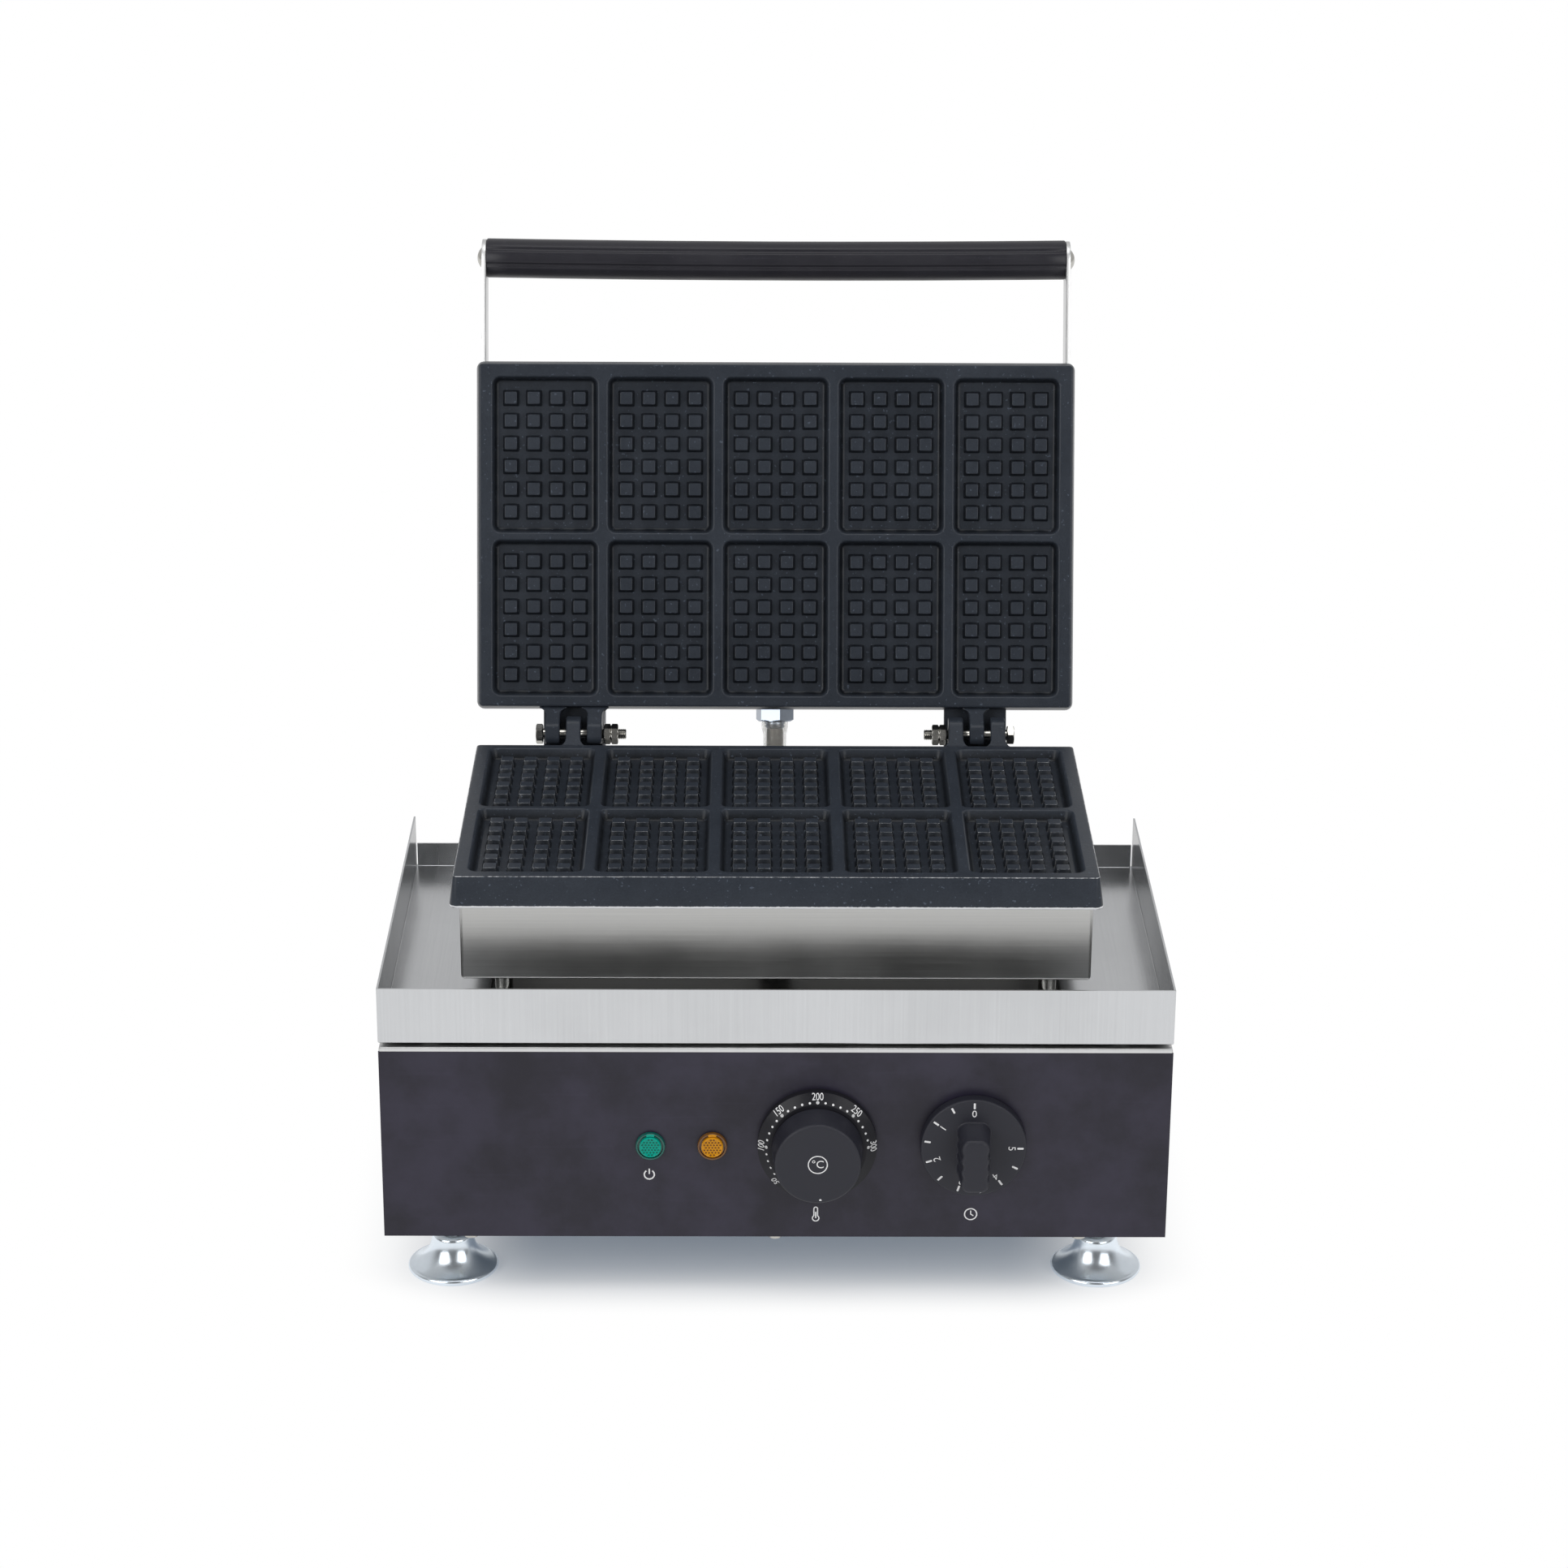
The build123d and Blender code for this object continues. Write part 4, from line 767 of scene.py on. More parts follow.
def lamp_finishes(tint: str, colors: Sequence[Triple], specular: float) -> tuple[Finish, Finish, Finish]:
    """The finishes of one lamp.

    Args:
        tint: The lamp's colour in a word.
        colors: Colours of its lens, of the lens's facets and of its body.
        specular: Gloss of the lens.

    Returns:
        The finishes of the lens, of its facets and of the body.
    """
    slot = f"{tint}_lens"
    grain = {"speckle": 600.0, "speckle_tone": 0.2, "ior": 1.5}
    coarse = grain | {"speckle": 300.0, "speckle_tone": 0.3}
    lens = Finish(f"{tint} lens", slot, colors[0], 0.0, 0.2, specular=specular, **grain)
    # The facets are a darker copy of the lens: painted shade of the small pyramids.
    facets = Finish(f"{tint} lens facets in painted shade", slot, colors[1], 0.0, 0.16, coat=0.3, **grain)
    body = Finish(f"{tint} lamp body", slot, colors[2], 0.0, 0.12, coat=0.3, **coarse)
    return lens, facets, body


# Colours of lens, facets and body; the darker facet colour is painted shade.
GREEN_LAMP = lamp_finishes("green", ((0.0, 0.36, 0.27), (0.001, 0.14, 0.1), (0.0, 0.1, 0.082)), 0.2)
AMBER_LAMP = lamp_finishes("amber", ((0.68, 0.29, 0.006), (0.2, 0.075, 0.006), (0.15, 0.06, 0.006)), 0.25)


# Meshes


def rounded_rectangle(width: float, length: float, radius: float, steps: int = 6) -> list[Point2]:
    """Points round a rectangle with round corners.

    Args:
        width: Size along X.
        length: Size along Y.
        radius: Radius of the corners.
        steps: Number of chords in each corner.

    Returns:
        The points, anticlockwise, always the same number for the same steps.
    """
    points: list[Point2] = []
    for corner, (side_x, side_y) in enumerate(((1, 1), (-1, 1), (-1, -1), (1, -1))):
        for step in range(steps + 1):
            angle = (corner + step / steps) * math.pi / 2
            x = side_x * (width / 2 - radius) + radius * math.cos(angle)
            y = side_y * (length / 2 - radius) + radius * math.sin(angle)
            points.append((x, y))
    return points


def at_height(points: Iterable[Point2], height: float) -> list[Vector]:
    """Flat points as vectors at one height."""
    return [Vector((x, y, height)) for x, y in points]


def arc(centre: Point2, radius: float, first: float, last: float, steps: int) -> list[Point2]:
    """Points along an arc between two angles in degrees, both ends included."""
    angles = [math.radians(first + (last - first) * step / steps) for step in range(steps + 1)]
    return [(centre[0] + radius * math.cos(angle), centre[1] + radius * math.sin(angle)) for angle in angles]


class Shaper:
    """Gathers the faces of one piece, in millimetres."""

    def __init__(self) -> None:
        """Start with no faces."""
        self.bm = bmesh.new()
        # One value per vertex: above 0 bare metal, below 0 painted shade.
        self.raw = self.bm.verts.layers.float.new("bare_edge_and_shade")

    def row(self, points: Iterable[Vector], place: Matrix, raw: float = 0.0) -> list[Vertex]:
        """Add one row of vertices, with its share of bare metal, and return it.

        Args:
            points: The row's points.
            place: Where the row goes.
            raw: Share of bare metal, or of painted shade in a hollow if below 0.

        Returns:
            The new vertices.
        """
        row = [self.bm.verts.new(place @ point) for point in points]
        for vertex in row:
            vertex[self.raw] = raw
        return row

    def bridge(self, low: Sequence[Vertex], high: Sequence[Vertex]) -> None:
        """Join two closed rows, either of which may be a single point.

        Args:
            low: The first row.
            high: The second row.
        """
        count = max(len(low), len(high))
        for index in range(count):
            after = (index + 1) % count
            corners = [low[index % len(low)], low[after % len(low)]]
            corners += [high[after % len(high)], high[index % len(high)]]
            self.bm.faces.new(list(dict.fromkeys(corners)))

    def loft(
        self, rings: Sequence[Ring], place: Matrix = Matrix(), caps: bool = True, closed: bool = False,
        raw: Sequence[float] = (),
    ) -> list[list[Vertex]]:
        """Skin a run of closed rings.

        Args:
            rings: The rings, of the same number of points or of one point.
            place: Where the skin goes.
            caps: Whether flat faces close the first and the last ring.
            closed: Whether the last ring joins the first.
            raw: Share of bare metal of each ring, or of painted shade if below 0.

        Returns:
            The rows of vertices.
        """
        shares = raw or [0.0] * len(rings)
        rows = [self.row(ring, place, share) for ring, share in zip(rings, shares)]
        for low, high in zip(rows, rows[1:]):
            self.bridge(low, high)
        if closed:
            self.bridge(rows[-1], rows[0])
        elif caps:
            for end in (rows[0], rows[-1]):
                if len(end) > 2:
                    self.bm.faces.new(end)
        return rows

    def lathe(
        self, profile: Sequence[Point2], place: Matrix, segments: int = 48, closed: bool = False
    ) -> None:
        """Turn a profile of radius and height about the place's Z axis.

        Args:
            profile: Points of radius and height.
            place: Where the turned shape goes.
            segments: Number of chords round the axis.
            closed: Whether the profile is a closed ring round a bore.
        """
        rings = []
        for radius, height in profile:
            count = segments if radius > TINY else 1
            angles = [math.tau * step / count for step in range(count)]
            rings.append([Vector((radius * math.cos(a), radius * math.sin(a), height)) for a in angles])
        self.loft(rings, place, closed=closed)

    def hexagon(
        self, flats: float, height: float, place: Matrix, bore: float = 0.0, rise: float = 0.2,
        chords: int = 72,
    ) -> None:
        """Add a hexagon with its corners turned off at both ends.

        Args:
            flats: Width across flats.
            height: Height along the place's Z axis.
            place: Where the hexagon's lower end goes.
            bore: Radius of a hole through it, or nothing.
            rise: Rounding at the middle of the ends.
            chords: Number of chords round the axis.
        """
        corner = flats / math.sqrt(3)
        face = 0.48 * flats
        slope = math.tan(math.radians(30))
        cut = (corner - face) * slope
        angles = [math.tau * step / chords for step in range(chords)]
        half = math.pi / 6
        reach = [flats / 2 / math.cos((angle + half) % (2 * half) - half) for angle in angles]
        levels = [cut * step / 4 for step in range(5)]
        heights = levels + [height - level for level in reversed(levels)]
        rings = []
        for level in heights:
            depth = min(level, height - level)
            limit = min(corner, face + depth / slope)
            spots = [(min(distance, limit), angle) for distance, angle in zip(reach, angles)]
            rings.append([Vector((d * math.cos(a), d * math.sin(a), level)) for d, a in spots])
        inner = bore or 0.25 * flats
        ends = [[Vector((inner * math.cos(a), inner * math.sin(a), level)) for a in angles]
                for level in ((0.0, height) if bore else (-rise, height + rise))]
        self.loft([ends[0], *rings, ends[1]], place, closed=bool(bore))

    def stroke(
        self, points: Sequence[Point2], width: float, height: float, place: Matrix, ring: bool
    ) -> None:
        """Add a flat printed line.

        Args:
            points: The line's middle.
            width: The line's width.
            height: Thickness of the print.
            place: Where the line goes.
            ring: Whether the line joins its own start.
        """
        count = len(points)
        rows = []
        for index, (x, y) in enumerate(points):
            before = points[index - 1] if ring or index else points[0]
            after = points[(index + 1) % count] if ring or index + 1 < count else points[-1]
            along = Vector((after[0] - before[0], after[1] - before[1])).normalized() * width / 2
            sides = [Vector((x - along.y, y + along.x, 0.0)), Vector((x + along.y, y - along.x, 0.0))]
            lifted = [side + Vector((0.0, 0.0, height)) for side in sides]
            rows.append([sides[0], sides[1], lifted[1], lifted[0]])
        self.loft(rows, place, closed=ring)

    def disc(self, radius: float, height: float, place: Matrix, segments: int) -> None:
        """Add a flat round dot."""
        self.lathe([(0.0, 0.0), (radius, 0.0), (radius, height), (0.0, height)], place, segments)

    def add_mesh(self, mesh: Mesh, place: Matrix = Matrix()) -> None:
        """Take over the faces of a mesh.

        Args:
            mesh: The mesh, which is then removed.
            place: Where its faces go.
        """
        mesh.transform(place)
        self.bm.from_mesh(mesh)
        bpy.data.meshes.remove(mesh)

    def text(self, words: str, height: float, place: Matrix) -> None:
        """Add flat printed figures about the place.

        Args:
            words: The figures.
            height: Height of a capital figure.
            place: Where their middle goes.
        """
        curve = bpy.data.curves.new("figures", "FONT")
        curve.body = words
        curve.size = height / CAPITAL_SHARE
        curve.align_x = "CENTER"
        curve.align_y = "CENTER"
        curve.extrude = PRINT_EXTRUDE
        holder = put_in_scene("figures", curve)
        mesh = bpy.data.meshes.new_from_object(holder.evaluated_get(bpy.context.evaluated_depsgraph_get()))
        bpy.data.objects.remove(holder)
        bpy.data.curves.remove(curve)
        self.add_mesh(mesh, place)

    def mesh(self, name: str) -> Mesh:
        """The gathered faces as a mesh, all facing outwards.

        Args:
            name: The mesh's name.

        Returns:
            The mesh, in millimetres.
        """
        bmesh.ops.recalc_face_normals(self.bm, faces=self.bm.faces)
        mesh = bpy.data.meshes.new(name)
        self.bm.to_mesh(mesh)
        self.bm.free()
        return mesh

    def piece(self, name: str, finish: Finish, sharp: float = 38.0) -> bpy.types.Object:
        """Finish the piece.

        Args:
            name: The piece's name.
            finish: Its finish.
            sharp: Edges with a wider angle in degrees stay sharp.

        Returns:
            The object, in metres, in the scene.
        """
        mesh = self.mesh(name)
        mesh.transform(Matrix.Scale(MM, 4))
        mesh.materials.clear()
        mesh.materials.append(finish.material())
        mesh.polygons.foreach_set("use_smooth", [True] * len(mesh.polygons))
        mesh.set_sharp_from_angle(angle=math.radians(sharp))
        piece = put_in_scene(name, mesh)
        LOG.info("%s: %d faces", name, len(mesh.polygons))
        return piece

    def fit(self, name: str, finish: Finish, body: Body, *nodes: str) -> bpy.types.Object:
        """Finish the piece, fix it to a body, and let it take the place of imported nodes.

        Args:
            name: The piece's name.
            finish: Its finish.
            body: The body that it rides on.
            nodes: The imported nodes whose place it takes.

        Returns:
            The object.
        """
        piece = self.piece(name, finish)
        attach(piece, body.value)
        if nodes:
            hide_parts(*nodes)
        return piece


# Sub-assemblies


@dataclass
class CastPlate:
    """One cast plate: the rim, ten pockets with pegs, hinge lugs and the bosses behind."""

    name: str
    body: Body
    # Bare metal at the rim's and the pegs' top edges and at the pockets' rib edges: wear, and also a painted
    # highlight where the edges glint.
    wear: float
    rib_wear: float = 0.34
    columns: int = 5
    lines: int = 2
    peg_columns: int = 4
    peg_lines: int = 6
    width: float = 337.1
    depth: float = 195.9
    corner: float = 4.4
    thickness: float = 17.0
    lean: float = 2.2
    edge: float = 0.9
    pocket_width: float = 58.82
    pocket_length: float = 87.2
    pocket_corner: float = 4.5
    pocket_depth: float = 6.0
    pocket_lean: float = 1.8
    pocket_shift: float = 0.6
    pitch_x: float = 64.62
    pitch_y: float = 91.3
    peg_pitch_x: float = 12.81
    peg_pitch_y: float = 12.7
    peg_base: float = 8.3
    peg_top: float = 6.7
    peg_height: float = 4.3
    peg_corner: float = 0.6
    lug_radius: float = 5.6
    crown_radius: float = 4.0
    crown_rise: float = 5.8
    crown_places: Point2 = (-3.0, 1.3)
    lug_bore: float = 3.08
    lug_middle: float = 8.0
    lug_outer: float = 8.1
    lug_gap: float = 3.7
    lug_fillet: float = 3.6
    root: tuple[Point2, ...] = ((-20.5, -16.6), (-15.5, -16.6), (-15.5, -2.6))
    ledge_width: float = 35.0
    ledge_top: float = -11.0
    ledge_gap: float = 0.15
    stud_boss: float = 7.0
    clamp_x: float = 60.0
    clamp_boss: float = 6.0
    boss_height: float = 8.0
    boss_bore: float = 3.1

    def place(self) -> Matrix:
        """The plate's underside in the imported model, lid open."""
        low = Matrix.Translation((0.0, LAYOUT.plates_y, LAYOUT.casing_top))
        return low if self.body is Body.BASE else LAYOUT.open_lid() @ LAYOUT.turn_over() @ low

    def rim(self, height: float, inset: float = 0.0) -> list[Vector]:
        """The outer edge at a height.

        Args:
            height: Height above the plate's underside.
            inset: Distance inside the edge.

        Returns:
            The points of the edge.
        """
        lean = self.lean * height / self.thickness + inset
        shape = rounded_rectangle(self.width - 2 * lean, self.depth - 2 * lean, max(self.corner - lean, 0.8))
        return at_height(shape, height)

    def pocket(self, depth: float, grow: float, centre: Point2) -> list[Vector]:
        """One pocket's outline at a depth below the deck, made wider all round by the growth.

        Args:
            depth: Depth below the deck.
            grow: Growth all round.
            centre: The pocket's middle.

        Returns:
            The points of the outline.
        """
        lean = grow - self.pocket_lean * depth / self.pocket_depth
        radius = max(self.pocket_corner + lean, 1.0)
        shape = rounded_rectangle(self.pocket_width + 2 * lean, self.pocket_length + 2 * lean, radius)
        return at_height([(x + centre[0], y + centre[1]) for x, y in shape], self.thickness - depth)

    def build_block(self, shaper: Shaper) -> None:
        """Add the rim, the deck and the pockets.

        Args:
            shaper: The plate's shaper.
        """
        top = self.thickness
        # Rim rows with their share of bare metal: the cut edge of the underside, and the top edge's wear,
        # which is also a painted highlight.
        profile = [(0.0, 0.35, 1.0), (0.4, 0.05, 1.0), (1.2, 0.0, 0.45), (1.9, 0.0, 0.0)]
        profile += [(top - self.edge, 0.0, 0.0), (top - 0.3 * self.edge, 0.25 * self.edge, self.wear)]
        profile += [(top, self.edge, 0.0), (top, self.edge + 0.4, 0.0)]
        rings = [self.rim(height, inset) for height, inset, _ in profile]
        rows = shaper.loft(rings, self.place(), caps=False, raw=[raw for _, _, raw in profile])
        shaper.bm.faces.new(rows[0])
        borders = [rows[-1]]
        deep = self.pocket_depth
        # Each pocket row's last value: bare metal at the rib edge, worn and also a painted highlight; below
        # 0, painted shade down the walls and over the floor.
        steps = [(0.0, 1.1, 0.0), (0.0, 0.75, 0.0), (0.2, 0.25, self.rib_wear), (0.7, 0.0, -0.2)]
        steps += [(deep - 1.5, 0.0, -1.0), (deep - 0.45, -0.35, -1.0), (deep, -1.1, -0.5), (deep, -1.9, -0.2)]
        shares = [share for _, _, share in steps]
        for column in range(self.columns):
            for line in range(self.lines):
                x = (column - (self.columns - 1) / 2) * self.pitch_x
                centre = (x, (line - (self.lines - 1) / 2) * self.pitch_y + self.pocket_shift)
                hollow = [self.pocket(depth, grow, centre) for depth, grow, _ in steps]
                rows = shaper.loft(hollow, self.place(), caps=False, raw=shares)
                shaper.bm.faces.new(rows[-1])
                borders.append(rows[0])
        edges = []
        for border in borders:
            pairs = zip(border, border[1:] + border[:1])
            edges += [shaper.bm.edges.get(pair) for pair in pairs]
        bmesh.ops.triangle_fill(shaper.bm, use_beauty=True, edges=edges)

    def peg(self) -> Shaper:
        """One peg with a soft root, painted shade at its root and sides, and a top edge of worn bare metal
        that is also a painted highlight.

        Returns:
            The peg's shaper.
        """
        span = self.peg_base - self.peg_top
        top = self.peg_height
        # Each row's last value: below 0, painted shade at the root and up the sides; at the top edge, bare
        # metal that is worn and also a painted highlight.
        rows = [(self.peg_base + 1.3, -0.15, -0.2), (self.peg_base + 0.4, 0.15, -1.0)]
        rows += [(self.peg_base - 0.15 * span, 0.8, -1.0), (self.peg_top + 0.06 * span, top - 0.35, -0.7)]
        rows += [(self.peg_top - 0.1, top - 0.08, self.wear), (self.peg_top - 0.45, top, 0.0)]
        rows += [(self.peg_top - 0.8, top, 0.0)]
        outlines = [rounded_rectangle(size, size, self.peg_corner, 2) for size, _, _ in rows]
        rings = [at_height(outline, height) for outline, (_, height, _) in zip(outlines, rows)]
        shaper = Shaper()
        shaper.loft(rings, raw=[share for _, _, share in rows])
        return shaper

    def lug_outline(self) -> list[Point2]:
        """Corners of a lug's side outline about the hinge axis, in order: a hull of its rounds and root.

        Returns:
            Y and Z of each corner.
        """
        spots = list(self.root) + arc((0.0, 0.0), self.lug_radius, 0.0, 355.0, 71)
        for y in self.crown_places:
            spots += arc((y, self.crown_rise), self.crown_radius, 0.0, 355.0, 71)
        return [spots[index] for index in convex_hull_2d(spots)]

    @staticmethod
    def reach(outline: Sequence[Point2], angle: float) -> float:
        """Distance from the hinge axis to the outline in one direction of the Y-Z plane.

        Args:
            outline: Corners of the outline.
            angle: The direction, from Y towards Z.

        Returns:
            The distance.
        """
        direction = Vector((math.cos(angle), math.sin(angle)))
        best = 0.0
        for start, end in zip(outline, [*outline[1:], outline[0]]):
            side = Vector((end[0] - start[0], end[1] - start[1]))
            cross = direction.x * side.y - direction.y * side.x
            if abs(cross) > TINY:
                along = (start[0] * side.y - start[1] * side.x) / cross
                share = (start[0] * direction.y - start[1] * direction.x) / cross
                if -TINY <= share <= 1 + TINY:
                    best = max(best, along)
        return best

    def hinge_place(self) -> Matrix:
        """The hinge axis, in the plate's own frame."""
        hinge_y = LAYOUT.hinge_y - LAYOUT.plates_y
        return Matrix.Translation((0.0, hinge_y, LAYOUT.hinge_z - LAYOUT.casing_top))

    def build_lug(self, shaper: Shaper, x: float, width: float) -> None:
        """Add one hinge lug with a bore and a soft root.

        Args:
            shaper: The plate's shaper.
            x: The lug's middle.
            width: The lug's width.
        """
        outline = self.lug_outline()
        angles = [math.tau * step / 90 for step in range(90)]
        reaches = [self.reach(outline, angle) for angle in angles]
        edge_y = self.root[1][0] + 0.5 * self.lean

        def ring(share: float, side: int, inset: float) -> list[Vector]:
            """One ring of a side face, from the bore at 0 to the outline at 1.

            Args:
                share: Place between bore and outline.
                side: Which side of the lug, -1 or 1.
                inset: Distance inside the outline.

            Returns:
                The points of the ring.
            """
            points = []
            for angle, reach in zip(angles, reaches):
                distance = self.lug_bore + (reach - inset - self.lug_bore) * share
                y = distance * math.cos(angle)
                near = min(max(self.lug_fillet - (y - edge_y), 0.0), self.lug_fillet)
                flare = self.lug_fillet - math.sqrt(max(self.lug_fillet**2 - near**2, 0.0))
                out = width / 2 - (0.5 if share == 1.0 and inset == 0.0 else 0.0) + flare
                points.append(Vector((x + side * out, y, distance * math.sin(angle))))
            return points

        shares = [0.0, 0.4, 0.6, 0.75, 0.88]
        rings = [ring(share, -1, 0.5) for share in shares] + [ring(1.0, -1, 0.5), ring(1.0, -1, 0.0)]
        rings += [ring(1.0, 1, 0.0), ring(1.0, 1, 0.5)] + [ring(share, 1, 0.5) for share in reversed(shares)]
        shaper.loft(rings, self.place() @ self.hinge_place(), closed=True)

    def build_ledge(self, shaper: Shaper, x: float) -> None:
        """Add the ledge under one hinge's lugs, with a bare inner end on the plate's own right side.

        Args:
            shaper: The plate's shaper.
            x: The ledge's middle.
        """
        low = self.root[0][1]
        slope = LAYOUT.lid_angle / 2
        gap = self.ledge_gap / math.sin(slope)
        back = [-height / math.tan(slope) - gap for height in (low, self.ledge_top)]
        start = self.root[0][0]
        profile = [(start, low, 0.0, 1.0), (back[0], low, -1.0, 1.0), (back[1], self.ledge_top, -1.0, -1.0)]
        profile += [(start, self.ledge_top, 0.0, -1.0)]
        half = self.ledge_width / 2
        bare = 1.0 if x > 0 else 0.0
        steps = [(-half, 0.6, bare), (0.6 - half, 0.0, bare), (1.9 - half, 0.0, bare), (2.2 - half, 0.0, 0.0)]
        steps += [(half - 0.6, 0.0, 0.0), (half, 0.6, 0.0)]
        rings = []
        for out, inset, _ in steps:
            rings.append([Vector((x + out, y + inset * dy, z + inset * dz)) for y, z, dy, dz in profile])
        shaper.loft(rings, self.place() @ self.hinge_place(), raw=[share for _, _, share in steps])

    def build_bosses(self, shaper: Shaper) -> None:
        """Add the bosses for the studs and the clamp screws.

        Args:
            shaper: The plate's shaper.
        """
        stud_x, stud_y = LAYOUT.stud_x, LAYOUT.stud_y
        bosses = [(x, y, self.stud_boss) for x in (-stud_x, stud_x) for y in (-stud_y, stud_y)]
        bosses += [(x, 0.0, self.clamp_boss) for x in (-self.clamp_x, self.clamp_x)]
        bore, low = self.boss_bore, -self.boss_height
        for x, y, radius in bosses:
            place = self.place() @ Matrix.Translation((x, y, 0.0))
            profile = [(bore, -0.05), (radius, -0.05), (radius, low + 0.4), (radius - 0.4, low), (bore, low)]
            shaper.lathe(profile, place, 32, closed=True)

    def build(self) -> None:
        """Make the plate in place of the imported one."""
        shaper = Shaper()
        self.build_block(shaper)
        self.build_lug(shaper, -LAYOUT.hinge_x, self.lug_middle)
        offset = self.lug_middle / 2 + self.lug_gap + self.lug_outer / 2
        for side in (-1, 1):
            self.build_lug(shaper, LAYOUT.hinge_x + side * offset, self.lug_outer)
            self.build_ledge(shaper, side * LAYOUT.hinge_x)
        self.build_bosses(shaper)
        inner = (self.peg_columns, self.peg_lines, self.peg_pitch_x, self.peg_pitch_y)
        outer = (self.columns, self.lines, self.pitch_x, self.pitch_y)
        pegs = REPEATS.on_grid(self.peg(), inner, outer, NONSTICK)
        floor = Matrix.Translation((0.0, self.pocket_shift, self.thickness - self.pocket_depth))
        shaper.add_mesh(pegs, self.place() @ floor)
        shaper.fit(f"{self.name}_cast", NONSTICK, self.body, self.name)


@dataclass
class Hinges:
    """The hinge bolts and their nuts."""

    bolt_radius: float = 3.0
    thread_pitch: float = 1.0
    thread_depth: float = 0.35
    flats: float = 10.0
    head_height: float = 4.0
    head_x: float = 130.2
    length: float = 46.6
    plain_length: float = 31.0
    nut_height: float = 4.1
    nut_x: float = 96.2
    head_turn: Point2 = (38.8, 38.8)
    nut_turn: Point2 = (51.2, 8.8)

    def bolt(self) -> Shaper:
        """One bolt along Z, with its head above the origin.

        Returns:
            The bolt's shaper.
        """
        shaper = Shaper()
        shaper.hexagon(self.flats, self.head_height, Matrix())
        radius = self.bolt_radius
        profile: list[Point2] = [(0.0, 0.05), (radius, 0.05), (radius, -self.plain_length)]
        height = self.plain_length
        while height < self.length - 1.0:
            profile.append((radius - self.thread_depth, -height - 0.5 * self.thread_pitch))
            profile.append((radius - 0.05, -height - self.thread_pitch))
            height += self.thread_pitch
        profile += [(radius - 0.6, -self.length), (0.0, -self.length)]
        shaper.lathe(profile, Matrix(), 36)
        return shaper

    def nut(self) -> Shaper:
        """One nut above the origin.

        Returns:
            The nut's shaper.
        """
        shaper = Shaper()
        shaper.hexagon(self.flats, self.nut_height - 0.05, Matrix(), bore=self.bolt_radius + 0.05)
        return shaper

    def places(self, x: float, turns: Point2) -> list[Matrix]:
        """Two mirrored places on the hinge axis, with Z outwards and their own turns in degrees.

        Args:
            x: Distance from the machine's middle.
            turns: Turn of the left and of the right one.

        Returns:
            The two places.
        """
        result = []
        for side, turn in zip((-1, 1), turns):
            facing = Matrix.Rotation(side * math.pi / 2, 4, "Y") @ Matrix.Rotation(math.radians(turn), 4, "Z")
            result.append(Matrix.Translation((side * x, LAYOUT.hinge_y, LAYOUT.hinge_z)) @ facing)
        return result

    def build(self) -> None:
        """Make the bolts and the nuts."""
        bolts = (self.bolt(), self.places(self.head_x, self.head_turn))
        REPEATS.fit_copies("hinge_bolts_turned", ZINC, Body.BASE, "hinge_bolts", bolts)
        nuts = []
        for number in (1, 2):
            nuts.append((self.nut(), self.places(self.nut_x - number * self.nut_height, self.nut_turn)))
        REPEATS.fit_copies("hinge_nuts_turned", ZINC, Body.BASE, "hinge_nuts", *nuts)


